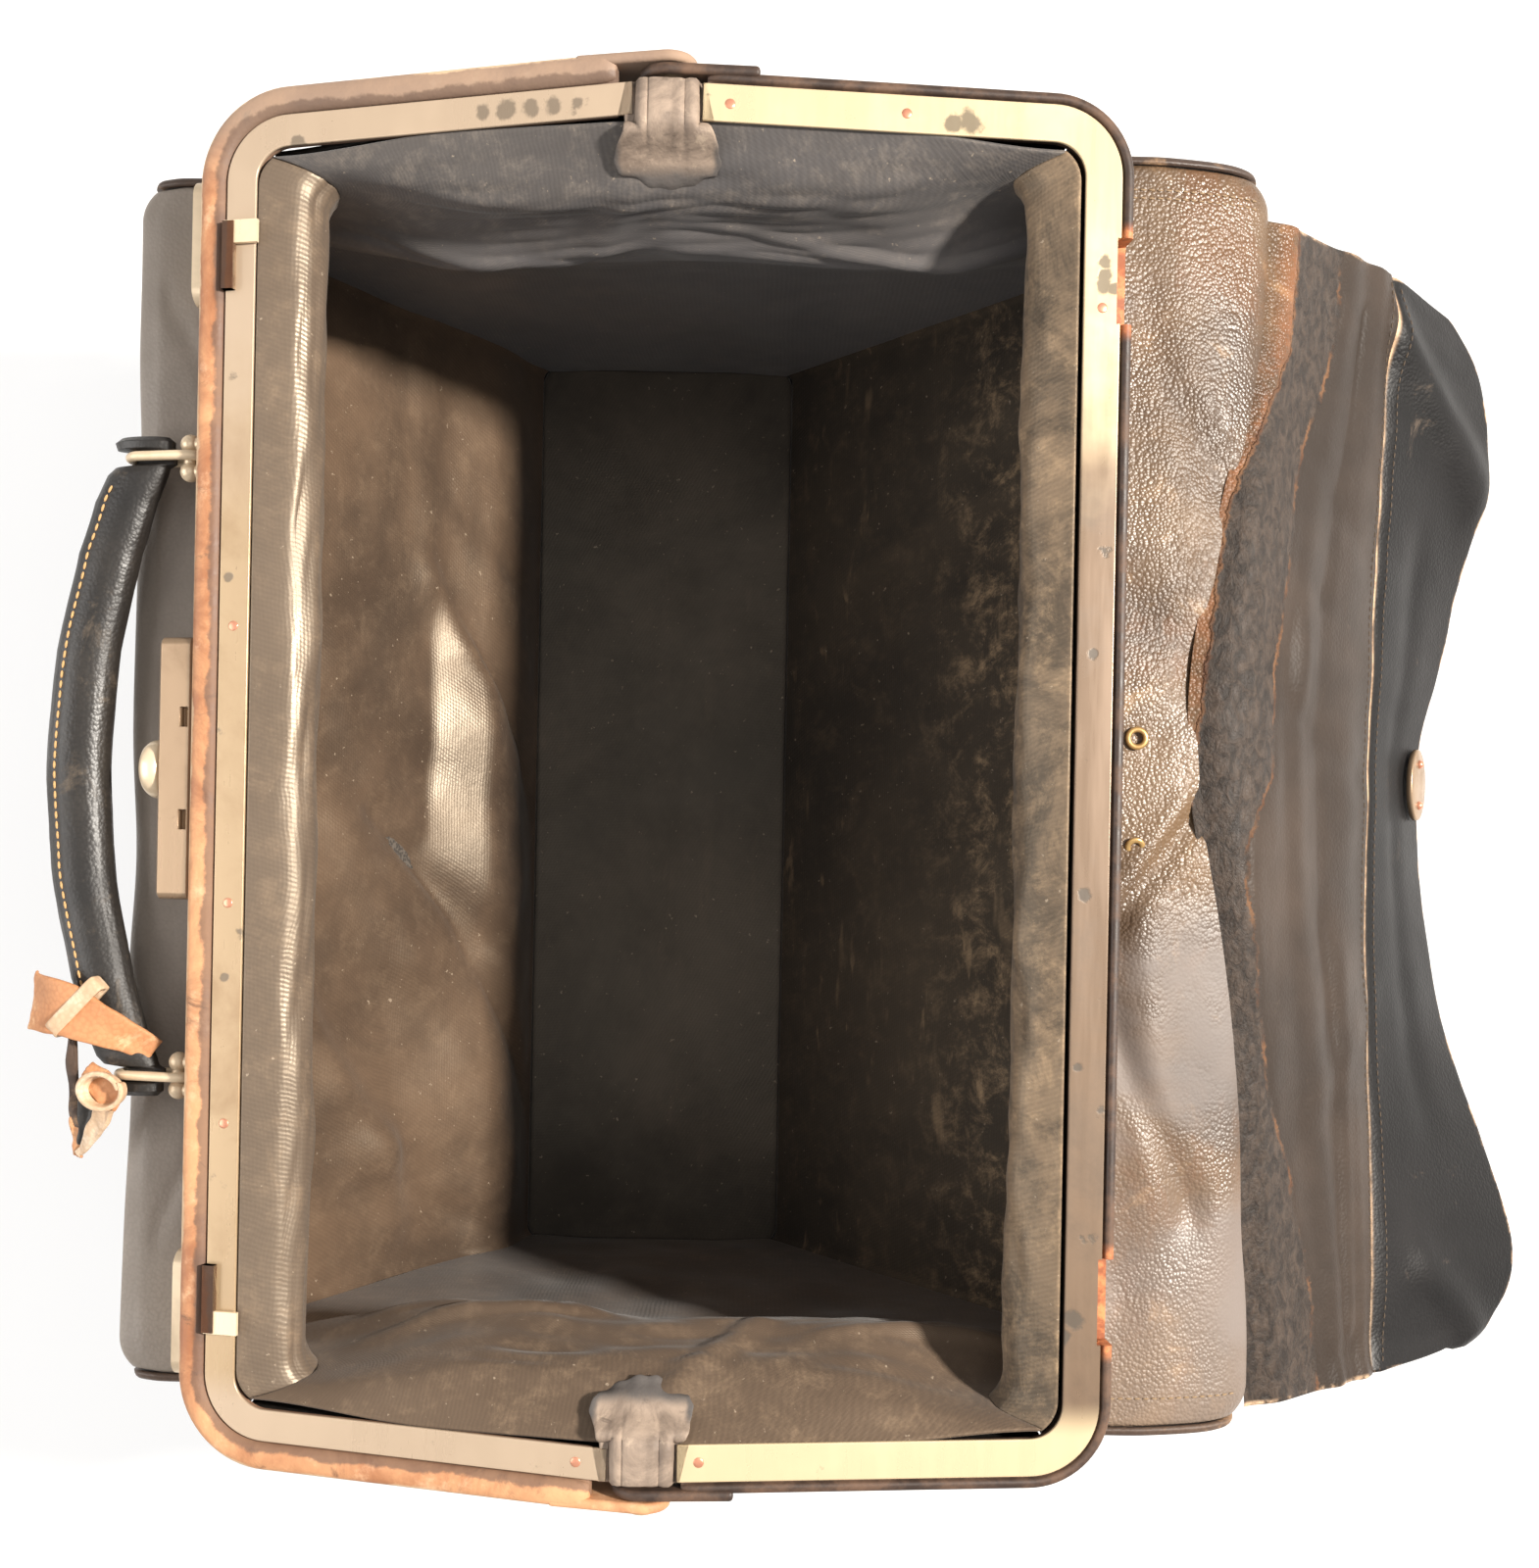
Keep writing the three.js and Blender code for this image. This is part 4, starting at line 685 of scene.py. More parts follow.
# %% Lining cloth
def lining_cloth(name, dark, light, dust, roll, dust_and_sheen, dust_from, dust_to, strokes, gloss, mottled):
    """Brown twill: slanted ribs on the sheet's own map, dust by level, and a greyer roll on top."""
    f = Finish(
        name, Specular_IOR_Level=gloss, Specular_Tint=rgb(255, 238, 214), Sheen_Weight=0.1,
        Sheen_Roughness=0.5
    )
    rib = f.bands(118, f.stretched(f.map, (1, 1, 1), 0.5), "X", 2.5)
    thread = f.bands(134, f.map, "Y", 2.5)
    level = f.attribute("level")
    patch = f.noise(9, 7, 0.65, distort=0.3)
    colour = f.mix(f.ramp(patch, 0.32, 0.7), dark, light)
    mottle = f.ramp(f.noise(34, 9, 0.78, distort=0.6), 0.4, 0.62, 0, mottled)
    roll_colour = f.mix(mottle, f.mix(f.ramp(patch, 0.3, 0.7, 0, 0.4), roll, dark), dark)
    colour = f.mix(f.ramp(level, 0.5, 0.66 + 0.2 * mottled), colour, roll_colour)
    rubbed = f.ramp(f.noise(84, 10, 0.8, distort=0.3), 0.46, 0.74)
    more = f.times(f.ramp(level, dust_from, dust_to), f.ramp(level, 0.3, 0.6, 0.7, 0.2 + 0.5 * mottled))
    colour = f.mix(f.times(rubbed, f.plus(more, dust_and_sheen)), colour, dust)
    for size, stretch, turn in ((150, 0.3, 0.1), (80, 0.2, -0.3)):
        marks = f.ramp(f.noise(size, 3, 0.6, f.stretched(f.place, (1, stretch, 1), turn)), 0.6, 0.7)
        marks = f.times(marks, f.ramp(f.noise(15, 5, 0.7), 0.46, 0.64))
        colour = f.tint(colour, marks, strokes, dust)
    specks = f.ramp(f.noise(420, 3, 0.6), 0.68, 0.74)
    colour = f.tint(colour, specks, 0.4, rgb(190, 172, 150))
    colour = f.tint(colour, rib, 0.12, rgb(40, 34, 30))
    f.relief(f.noise(60, 6, 0.6), 1.0, 0.3)
    f.relief(f.plus(rib, f.times(thread, 0.6)), 0.07, 0.4)
    return f.done(colour, f.ramp(f.noise(16, 5), 0.3, 0.7, 0.34, 0.46))


# Dark and light cloth, dust, the roll on top, how dusty, levels of more dust, stroke marks, gloss, mottling
# Painted light and shade: it is one cloth, but each wall has its own colours here. The handle side's wall, in
# the key lamp's light, is painted lighter and warmer, and so is the right-hand end where the lamp reaches it.
# The back wall and the floor are painted darker, as shade. The left end is a cool blue-grey, painted shade
# under its overhang. The back's roll is painted much lighter than its shaded wall, partly as painted light.
LININGS = {
    "front": (
        rgb(64, 51, 41), rgb(102, 82, 65), rgb(146, 124, 101), rgb(100, 86, 73),
        0.2, 0.5, 0.75, 0.1, 0.8, 0,
    ),
    "back": (
        rgb(44, 41, 38), rgb(66, 59, 51), rgb(170, 144, 114), rgb(126, 107, 87),
        0.12, 0.12, 0.2, 0.3, 0.3, 0.7,
    ),
    # Painted shade: the left end's cool blue-grey stands for the shade under its overhang.
    "left": (
        rgb(84, 84, 88), rgb(104, 101, 101), rgb(150, 138, 126), rgb(80, 76, 74),
        0.2, 0.6, 0.8, 0.15, 0.35, 0,
    ),
    "right": (
        rgb(58, 45, 35), rgb(82, 64, 49), rgb(150, 127, 103), rgb(90, 75, 62),
        0.2, 0.6, 0.8, 0.15, 0.35, 0,
    ),
    "floor": (
        rgb(48, 45, 42), rgb(86, 78, 70), rgb(108, 95, 82), rgb(60, 54, 48),
        0.12, 2.0, 3.0, 0.2, 0.3, 0,
    ),
}
lining_finishes = {name: lining_cloth("lining_" + name, *values) for name, values in LININGS.items()}
print("cloths:", list(lining_finishes))

# %% [markdown]
# ### Worn plate
#
# The strips, the lock and the catches were plated with nickel, which has gone cloudy and is spotted where it
# has worn through. Dull plate looks half like paint, so the finish is only partly metallic. Loose spots come
# from noise. The stains that one can point at have their own places in a list.


# %% Worn plate
def worn_plate(name, bright, dull, stain, stains=(), metal=0.6, pale=None):
    """Worn nickel plate: bright with dull clouds, dark spots, and stains at places (x, y, radius in mm).

    pale is a brighter colour for its two ends."""
    f = Finish(name)
    cloud = f.ramp(f.noise(26, 7, 0.65, distort=0.4), 0.42, 0.72)
    colour = f.mix(cloud, bright, dull)
    if pale:
        along = f.part(f.place, "Y")
        upper = f.plus(along, f.times(f.noise(40, 5), 0.06))
        ends = f.math("MAXIMUM", f.ramp(upper, 0.1, 0.17), f.ramp(along, -0.188, -0.176, 1, 0))
        colour = f.mix(ends, colour, pale)
    spots = f.ramp(f.noise(95, 5, 0.6), 0.66, 0.74)
    edge = f.math("SUBTRACT", f.noise(150, 5, 0.65), 0.5)
    for x, y, radius in stains:
        reach = f.node("ShaderNodeVectorMath", operation="DISTANCE")
        f.put(reach.inputs[0], f.stretched(f.place, (1, 1, 0)))
        reach.inputs[1].default_value = (x * MM, y * MM, 0)
        ragged = f.plus(reach.outputs["Value"], f.times(edge, 2 * radius * MM))
        spots = f.math("MAXIMUM", spots, f.ramp(ragged, 0.6 * radius * MM, radius * MM, 1, 0))
    colour = f.tint(colour, spots, 0.75, stain)
    scratch = f.noise(160, 3, 0.7, f.stretched(f.place, (1, 0.08, 1)))
    f.relief(scratch, 0.05, 0.3)
    f.relief(spots, -0.08, 0.5)
    rough = f.plus(f.ramp(scratch, 0.3, 0.7, 0.24, 0.36), f.times(cloud, 0.16))
    return f.done(colour, rough, f.ramp(spots, 0, 1, metal, metal / 2))


FRONT_STAINS = [
    (-66, 201, 1.8), (-54, 194.2, 2.6), (-47, 194.3, 3.2), (-40, 194.7, 2.8), (-33, 195, 3.2),
    (-26, 195.3, 2.4), (-110, 189, 2.6), (-129, 60, 1.6), (-128, -60, 1.4),
]
BACK_STAINS = [
    (127, 153, 2.4), (127, 149.6, 2.8), (127.2, 146.6, 2.8), (130, 145.8, 2.4), (87.5, 191.8, 4),
    (82, 191.6, 3), (124, -153, 3.4), (121, -158, 2.8), (126, 40, 2), (125, -30, 2.4), (124, -80, 2),
]
front_plate = worn_plate(
    "front_plate", rgb(172, 148, 117), rgb(150, 124, 94), rgb(96, 86, 74), FRONT_STAINS, 0.3,
    rgb(182, 161, 138)
)
back_plate = worn_plate(
    "back_plate", rgb(118, 98, 80), rgb(90, 75, 61), rgb(72, 67, 60), BACK_STAINS, 0.3, rgb(204, 183, 148)
)
fitting_plate = worn_plate("fitting_plate", rgb(156, 132, 107), rgb(128, 105, 82), rgb(92, 74, 58))
# Painted light: a lighter copy of the nickel plate, for the knob, slides, staples and rings, which lie in
# shade on the handle side.
cream_plate_painted_light = worn_plate("cream_plate_painted_light", rgb(230, 208, 176), rgb(204, 182, 152), rgb(130, 108, 84), metal=0.3)
brass_finish = worn_plate("brass", rgb(196, 160, 104), rgb(150, 116, 70), rgb(90, 66, 44))
copper_finish = worn_plate("copper_rivet", rgb(214, 150, 122), rgb(176, 116, 90), rgb(120, 74, 58))
print("plates:", [m.name for m in bpy.data.materials if m.name.endswith("plate")])

# %% [markdown]
# ### The rusty rim, and thread
#
# The front rim's cover has worn to tan and rust. Beside the strip it is darker, painted shade, and its outer
# wall is dark leather. How far in a point lies is stored on the bar, so that line can follow the bends.
# Thread is a plain colour with a wave for its twist.


# %% The rusty rim, and thread
def rusty_rim():
    """The front rim: tan worn cover and rust, painted shade beside the strip, a dark outer wall, grey-brown
    on the left leg.
    """
    f = Finish("rusty_rim", Specular_IOR_Level=0.4)
    patch = f.noise(30, 7, 0.68, distort=0.5)
    colour = f.mix(f.ramp(patch, 0.34, 0.66), rgb(150, 98, 66), rgb(204, 152, 110))
    pale = f.ramp(f.noise(75, 6, 0.7), 0.55, 0.75)
    colour = f.tint(colour, pale, 0.6, rgb(228, 186, 148))
    dark = f.ramp(f.noise(55, 6, 0.7, distort=1.0), 0.58, 0.7)
    colour = f.tint(colour, dark, 0.7, rgb(84, 60, 48))
    left_leg = f.ramp(f.part(f.place, "Y"), 0.17, 0.2)
    colour = f.tint(colour, left_leg, 0.8, rgb(134, 118, 104))
    along = f.math("ABSOLUTE", f.math("SUBTRACT", f.math("ABSOLUTE", f.part(f.place, "Y")), 0.156))
    slot = f.times(f.ramp(along, 0.011, 0.016, 1, 0), f.ramp(f.part(f.place, "X"), -0.137, -0.134))
    colour = f.tint(colour, slot, 0.85, f.mix(patch, rgb(58, 38, 28), rgb(120, 74, 46)))
    outer = f.math("SUBTRACT", f.attribute("inward"), f.times(f.noise(34, 6, 0.7), 7.0))
    colour = f.mix(f.ramp(outer, -3.2, -2.2, 0.8, 0), colour, rgb(206, 178, 144))
    # Painted shade: a dark band beside the strip; the same dark colour on the frame's outer wall is its dark
    # leather.
    inward = f.plus(f.attribute("inward"), f.times(f.noise(70, 6, 0.7), 7.0))
    colour = f.mix(f.ramp(inward, 8.6, 9.8, 0, 0.8), colour, f.mix(patch, rgb(64, 47, 40), rgb(120, 96, 80)))
    f.relief(patch, 0.5, 0.5)
    f.relief(f.cells(900), -0.15, 0.4)
    return f.done(colour, f.ramp(patch, 0.3, 0.7, 0.5, 0.8))


def thread(name, colour):
    f = Finish(name, Specular_IOR_Level=0.3)
    twist = f.bands(2500, f.place)
    f.relief(twist, 0.1, 0.4)
    return f.done(f.mix(f.times(twist, 0.3), colour, rgb(60, 44, 32)), 0.75)


rim_finish = rusty_rim()
tan_thread = thread("tan_thread", rgb(206, 164, 112))
dark_thread = thread("dark_thread", rgb(84, 72, 60))
roof_thread = thread("roof_thread", rgb(150, 126, 98))
print("finishes:", len(bpy.data.materials))

# %% [markdown]
# ## The bag's walls
#
# The long sides climb out from the base, bulge, and come back in over the top to the frame. The end walls
# fold inwards under the frame's legs. The lining does the same on its own rows, and ends in a soft roll
# beside the strips. The rows are the solids' rows. What is added here is what a faceted sheet can't hold:
# the puckers, the sag between the corners and the small waves of old leather.

# %% The rows, the same as the solids'
GAP, LEATHER, CLOTH = 0.4, 2.2, 1.4
WRAP = math.radians(55)  # how far a long side turns round the corner
WRAP_SHARE = 0.12  # share of a long side's grid in each corner
END_BLEND = 0.5  # share of an end wall over which its fold fades towards a corner
WALL_COLUMNS = (
    "front_x", "front_z", "front_end", "front_round",
    "back_x", "back_z", "back_end", "back_round", "end_y", "end_z", "sag",
)
BODY_ROWS = named(WALL_COLUMNS, [
    (-57, 3.4, 187, 8, 57, 3.4, 187, 8, 187, 3.4, 1),
    (-93, 60, 187.3, 8, 99, 62, 187.5, 8, 187.6, 61, 1),
    (-130, 120, 187.6, 9, 145, 125, 188.5, 9, 188, 122, 1.2),
    (-156, 160, 188, 10, 177, 165, 191, 10, 185, 162, 1.6),
    (-167, 176.5, 189, 12, 189, 183, 194, 12, 179, 184, 2),
    (-161, 182.2, 189.3, 13, 182, 192.2, 195.3, 13, 181, 197, 2),
    (-149, 183, 189.6, 14, 160, 197.8, 195.6, 14, 187, 206, 2),
    (-138, 183.4, 190.5, 16, 139, 199.2, 195.8, 16, 191.5, 213, 2),
    (-130.2, 187, 194, 18, 128.6, 204.6, 196, 18, 194.5, 220, 1.5),
    (-129.5, 197.5, 196, 18, 127.5, 218, 196, 18, 196.5, 228, 1),
])
LINING_ROWS = named(WALL_COLUMNS, [
    (-53, 5.8, 183.6, 6, 53, 5.8, 183.6, 6, 183.6, 5.8, 1),
    (-89, 60, 184, 6, 95, 62, 184.2, 6, 184, 61, 1),
    (-125.6, 120, 184.2, 6, 140.6, 125, 184.6, 6, 183.6, 122, 1.2),
    (-146, 152, 183.6, 7, 168, 159, 184.6, 7, 179, 156, 1.6),
    (-151, 166, 182.4, 9, 176, 174, 184.4, 9, 172, 176, 2),
    (-138, 173, 181, 10, 166, 184, 183.4, 10, 167.5, 188, 2),
    (-117, 182, 181, 11, 140, 190.5, 183, 11, 166.5, 198, 1.7),
    (-106, 197, 182.4, 11, 115, 203, 183.4, 11, 169.5, 207, 1.3),
    (-110.5, 206.4, 184.6, 11, 109.5, 215, 184.8, 11, 176, 216, 1),
    (-122.3, 208.2, 188.2, 11, 120.6, 224.4, 188.0, 11, 190.4, 230.6, 1),
])

print("rows:", len(BODY_ROWS["sag"]), "for the leather and", len(LINING_ROWS["sag"]), "for the lining")

# %% [markdown]
# ## Long sides and end walls
#
# A long side runs a little way round each corner, and an end wall starts just off its edge. One could model
# a wall flat and bend it with a lattice. Here each wall is worked out as a grid of points, one line for each
# place along the bag, because folds can then be added as numbers before any mesh is made.


# %% Long sides and end walls as grids
def long_side(rows, side, us, ts, inward):
    """A wall's grid. inward(y, t) says how far it is pushed into the bag."""
    u, t = np.meshgrid(us, ts, indexing="ij")
    name = "front" if side < 0 else "back"
    x, z, end, rounding = (column(rows[f"{name}_{c}"], t) for c in ("x", "z", "end", "round"))
    flat = np.clip((u - WRAP_SHARE) / (1 - 2 * WRAP_SHARE), 0, 1) * 2 - 1
    beyond = np.maximum(np.maximum(WRAP_SHARE - u, u - 1 + WRAP_SHARE), 0) / WRAP_SHARE
    turn = beyond * WRAP
    y = flat * (end - rounding) + np.sign(flat) * rounding * np.sin(turn)
    x = x - side * (rounding * (1 - np.cos(turn)) + inward(y, t))
    return np.stack([x, y, z], axis=2)


def corner_edge(rows, side, t, inset):
    """Where an end wall starts beside a long side: off the seam, at right angles to it."""
    name = "front" if side < 0 else "back"

    def edge(t):
        rounding = column(rows[f"{name}_round"], t)
        x = column(rows[f"{name}_x"], t) - side * rounding * (1 - math.cos(WRAP))
        y = column(rows[f"{name}_end"], t) - rounding * (1 - math.sin(WRAP))
        return np.array([x, y, column(rows[f"{name}_z"], t)])

    here, seam = edge(t), edge(t + 1e-3) - edge(t - 1e-3)
    length = np.hypot(seam[0], seam[2])
    return here[0] - side * inset * seam[2] / length, here[1], here[2] + side * inset * seam[0] / length


def end_wall(rows, end, us, ts, inset, inward):
    """An end wall's grid. It starts off both corners, folds inwards and sags between them."""
    u, t = np.meshgrid(us, ts, indexing="ij")
    front, back = corner_edge(rows, -1, t, inset), corner_edge(rows, 1, t, inset)
    x = front[0] + (back[0] - front[0]) * u
    corner_x, corner_z = (np.where(x < 0, front[i], back[i]) for i in (0, 2))
    fade = smoothstep((1 - np.abs(u * 2 - 1)) / END_BLEND)
    corner_y = front[1] + (back[1] - front[1]) * u
    y = corner_y + (column(rows["end_y"], t) - corner_y) * fade - inward(x, t) * fade
    climb = np.maximum(1 - x / corner_x, 0) ** column(rows["sag"], t)
    z = corner_z + (column(rows["end_z"], t) - corner_z) * climb
    return np.stack([x, end * y, z], axis=2)


# %% [markdown]
# ## Lining
#
# Brown twill cloth, glued to the leather at the frame and loose below it. The handle side's wall shows
# most: its cloth has slipped and lies in slanting puckers. The end walls hang over in a deep fold. A cloth
# simulation could find such folds, but these are where the photo has them, so each is a row in a table.

# %% Folds of the lining
# Soft folds: place along the wall in mm, level as a share, width, span and depth
LINING_FOLDS = {
    "front": [],
    "back": [(40, 0.2, 70, 0.1, 4), (-110, 0.14, 50, 0.08, 4)],
    "left": [(0, 0.72, 400, 0.13, -6), (-70, 0.62, 34, 0.09, 2), (72, 0.6, 40, 0.09, 2.5)],
    "right": [(0, 0.72, 400, 0.13, -3.5), (-52, 0.6, 38, 0.1, 3), (50, 0.64, 46, 0.08, 2)],
}
# Puckers, from one place on the wall to another (along in mm, level as a share), with width and depth in mm
LINING_PUCKERS = {
    "front": [
        (196, 0.13, 84, 0.124, 5, 2.4), (84, 0.124, 60, 0.1, 5, 2.5), (-8, 0.16, -54, 0.075, 5, -4.5),
        (-16, 0.19, -60, 0.14, 8, 4.0), (-72, 0.24, -132, 0.165, 8, 5.5), (-132, 0.165, -160, 0.15, 8, 4.5),
        (44, 0.2, -10, 0.15, 9, 2.2), (110, 0.09, 92, 0.06, 5, -2.0), (-158, 0.11, -172, 0.06, 5, -2.5),
    ],
    "back": [(120, 0.2, 90, 0.06, 8, 2.0), (-30, 0.2, -60, 0.05, 8, 2.0), (10, 0.6, -20, 0.3, 8, 1.6)],
    "left": [(-100, 0.66, -30, 0.55, 7, 1.5), (20, 0.7, 90, 0.58, 7, 1.5), (-10, 0.9, -20, 0.62, 6, 1.2)],
    "right": [(-90, 0.7, -20, 0.58, 7, 2.0), (10, 0.92, 34, 0.64, 6, 2.4), (60, 0.7, 110, 0.6, 7, 1.5)],
}
# The handle side's cloth sags into a ledge above the floor: how deep, and between which levels, along the bag
LEDGE_ROWS = named(("along", "deep", "low", "high"), [
    (-230, 1, 0.07, 0.14), (-175, 3, 0.07, 0.14), (-150, 9, 0.078, 0.15), (-110, 12, 0.082, 0.155),
    (-72, 8, 0.08, 0.15), (-58, 4, 0.08, 0.13), (-44, 12.5, 0.089, 0.12), (-20, 14.5, 0.09, 0.117),
    (25, 14.5, 0.09, 0.117), (48, 12, 0.09, 0.117), (62, 5, 0.08, 0.12), (110, 8.5, 0.076, 0.128),
    (160, 7.5, 0.076, 0.13), (230, 2, 0.07, 0.13),
])
LEDGE_LEVEL = 0.09  # the level that the ledge's rows are measured at
LEDGE_SLANT = 900  # the ledge's ends run up the wall at a slant: mm along for one whole level
LEVEL_MM = 420  # about how many mm of cloth one whole level is, for folds drawn in shares of it


def lining_depth(name, seed):
    """How far a lining wall is pushed into the bag by its ledge, folds, puckers and small waves."""

    def inward(along, level):
        depth = 0
        if name == "front":
            place = along - (level - LEDGE_LEVEL) * LEDGE_SLANT
            deep, low, high = (
                np.interp(place, LEDGE_ROWS["along"], LEDGE_ROWS[c]) for c in ("deep", "low", "high")
            )
            depth = deep * smoothstep(level / low) * np.clip((high - level) / (high - low), 0, 1)
        for y, t, wide, span, deep in LINING_FOLDS[name]:
            depth = depth + deep * bump(along, level, y, t, wide, span)
        for y0, t0, y1, t1, wide, deep in LINING_PUCKERS[name]:
            start, end = (y0, t0 * LEVEL_MM), (y1, t1 * LEVEL_MM)
            depth = depth + deep * fold_line(along, level * LEVEL_MM, *start, *end, wide)
        loose = smoothstep(level / 0.05) * smoothstep((1 - level) / 0.08)
        small = 0.5 * ripples(along, level * LEVEL_MM, 21, seed + 1)
        waves = ripples(along, level * LEVEL_MM, 55, seed) + small
        return depth + loose * (0.9 + 0.9 * waves)

    return inward


print("puckers:", {name: len(rows) for name, rows in LINING_PUCKERS.items()})

# %% Walls of the lining
WALL_US = np.concatenate([
    np.linspace(0, WRAP_SHARE, 9)[:-1],
    np.linspace(WRAP_SHARE, 1 - WRAP_SHARE, 131),
    np.linspace(1 - WRAP_SHARE, 1, 9)[1:],
])
CLOSE = edge_steps(2, 0.004)[:4]
LINING_TS = np.concatenate([
    CLOSE,
    np.linspace(0.004, 0.25, 80)[1:],
    np.linspace(0.25, 0.6, 26)[1:],
    np.linspace(0.6, 0.996, 64)[1:-1],
    1 - CLOSE[::-1],
])
LINING_INSET = 0.8  # mm between a lining's end wall and the corner it starts at
linings, lining_grids = {}, {}


def hang_lining(name, grid, inner):
    """One cloth of the lining. inner is 1 or -1: which way along the grid's normals the bag's inside lies."""
    lining_grids[name] = grid
    linings[name] = sheet("inside_" + name, grid, 0, inner * CLOTH, lining_finishes[name])
    paint(linings[name], level=np.broadcast_to(LINING_TS, grid.shape[:2]))


for name, side in SIDES:
    hang_lining(name, long_side(LINING_ROWS, side, WALL_US, LINING_TS, lining_depth(name, 10 + side)), -side)
for name, end in ENDS:
    depth = lining_depth(name, 20 + end)
    hang_lining(name, end_wall(LINING_ROWS, end, edge_steps(120, 0.004), LINING_TS, LINING_INSET, depth), end)
print("lining walls:", [o.name for o in linings.values()])


# %% The lining's floor, and putting the cloth on the bag
def board_grid(half_x, half_y, rounding, z, rise):
    """A flat rounded rectangle as a grid, with rise(x, y) lifting it a little."""
    u, v = np.meshgrid(edge_steps(40, 0.02) * 2 - 1, edge_steps(110, 0.006) * 2 - 1, indexing="ij")
    inset_x = np.maximum(np.abs(v) * half_y - (half_y - rounding), 0)
    x = u * (half_x - rounding + np.sqrt(np.maximum(rounding**2 - inset_x**2, 0)))
    return np.stack([x, v * half_y, z + rise(x, v * half_y)], axis=2)


floor_grid = board_grid(52.2, 182.8, 6, 3.5, lambda x, y: 0.5 + 0.4 * ripples(x, y, 50, 31))
linings["floor"] = sheet("inside_floor", floor_grid, 0, CLOTH, lining_finishes["floor"])
lining_grids["floor"] = floor_grid


for name, obj in linings.items():
    dress(obj, "bag", "lining_cloth", "lining_" + name)
    grid = lining_grids[name]

# %% [markdown]
# ## Outer leather
#
# The handle side is smooth and matt, the flap side pebbled and rubbed. Only the strip outside the frame
# shows from above, but the bag is looked at from all sides, so every wall gets its grain, its slack and
# its corner seams.

# %% Outer walls
BODY_FOLDS = {
    "front": [(-60, 0.5, 60, 0.08, 1.6), (90, 0.52, 50, 0.07, 1.4), (10, 0.25, 120, 0.12, 2.0)],
    "back": [(30, 0.3, 110, 0.12, 2.2), (-120, 0.45, 60, 0.08, 1.5)],
}
ROOF_PUCKERS = {
    "front": [(150, 0.6, 130, 0.7, 6, 0.7), (-140, 0.62, -120, 0.7, 6, 0.7)],
    "back": [
        (-6, 0.64, -38, 0.76, 5, 2.4), (-2, 0.66, -30, 0.76, 4, -1.4), (-72, 0.76, -124, 0.64, 8, 2.0),
        (-40, 0.72, -100, 0.7, 16, -2.0), (60, 0.76, 40, 0.62, 12, 1.6), (100, 0.62, 140, 0.72, 10, 1.6),
        (20, 0.7, 34, 0.64, 9, 1.2), (150, 0.76, 120, 0.64, 12, -1.2), (-150, 0.74, -130, 0.64, 10, 1.4),
    ],
}


def leather_depth(name, seed):
    """As lining_depth(), for the two long sides' leather."""

    def inward(along, level):
        depth = 0
        for y, t, wide, span, deep in BODY_FOLDS[name]:
            depth = depth + deep * bump(along, level, y, t, wide, span)
        slack = smoothstep(level / 0.08) * smoothstep((0.62 - level) / 0.1)
        return depth + slack * (0.4 + 0.8 * ripples(along, level * LEVEL_MM, 70, seed))

    return inward


def with_roof_puckers(name, grid, ts):
    """Small dents across the roof beside the frame, pushed straight down."""
    t = np.broadcast_to(ts, grid.shape[:2])
    down = sum(
        deep * fold_line(grid[..., 1], t * LEVEL_MM, y0, t0 * LEVEL_MM, y1, t1 * LEVEL_MM, wide)
        for y0, t0, y1, t1, wide, deep in ROOF_PUCKERS[name]
    )
    return grid - np.array([0, 0, 1]) * (down * smoothstep((t - 0.5) / 0.06))[..., None]


BODY_TS = edge_steps(100, 0.004)
outers = {}
for name, side, finish in (("front", -1, front_hide), ("back", 1, roof_finish)):
    grid = long_side(BODY_ROWS, side, WALL_US, BODY_TS, leather_depth(name, 40 + side))
    grid = with_roof_puckers(name, grid, BODY_TS)
    outers[name + "_panel"] = sheet(name + "_side", grid, 0, -side * LEATHER, finish)
for name, end in ENDS:
    grid = end_wall(BODY_ROWS, end, edge_steps(110, 0.004), BODY_TS, 1.6, lambda x, t: 0 * x)
    outers["gusset_" + name] = sheet(name + "_end", grid, 0, end * LEATHER, black_hide)
base_grid = board_grid(57, 187, 8, 0, lambda x, y: 0 * x)
outers["base"] = sheet("bottom", base_grid, 0, 3, black_hide, rounding=1.2)
SLOTS = {"front_panel": "smooth_leather", "back_panel": "worn_leather"}
for node, obj in outers.items():
    dress(obj, "bag", SLOTS.get(node, "black_leather"), node)

# %% [markdown]
# ## Corner seams
#
# Where a long side meets an end, the leather is sewn up in a raised seam. A curve object with a round
# bevel would do. The corner's edge is known as points already, so a half-round section is swept up along
# it, a little off the walls so that no two faces lie in one another.

# %% Corner seams
WELT = {"half": 1.9, "height": 2.6, "inset": 1.4, "from": 0.02, "to": 0.76}
HALF_CIRCLE = np.array([(math.cos(a), math.sin(a)) for a in np.linspace(0, np.pi, 9)])
welt_levels = np.linspace(WELT["from"], WELT["to"], 90)
section = HALF_CIRCLE * [WELT["half"], WELT["height"]]
for side_name, side in SIDES:
    for end_name, end in ENDS:
        places = np.stack(corner_edge(BODY_ROWS, side, welt_levels, WELT["inset"]), axis=1) * [1, end, 1]
        out = np.array([0.0, end, 0.0])
        across = unit(np.cross(np.gradient(places, axis=0), out))
        welt = sweep(f"seam_{side_name}_{end_name}", places + GAP * out, across, out, section, edge_hide)
        dress(welt, "bag", "black_leather", f"welt_{side_name}_{end_name}")

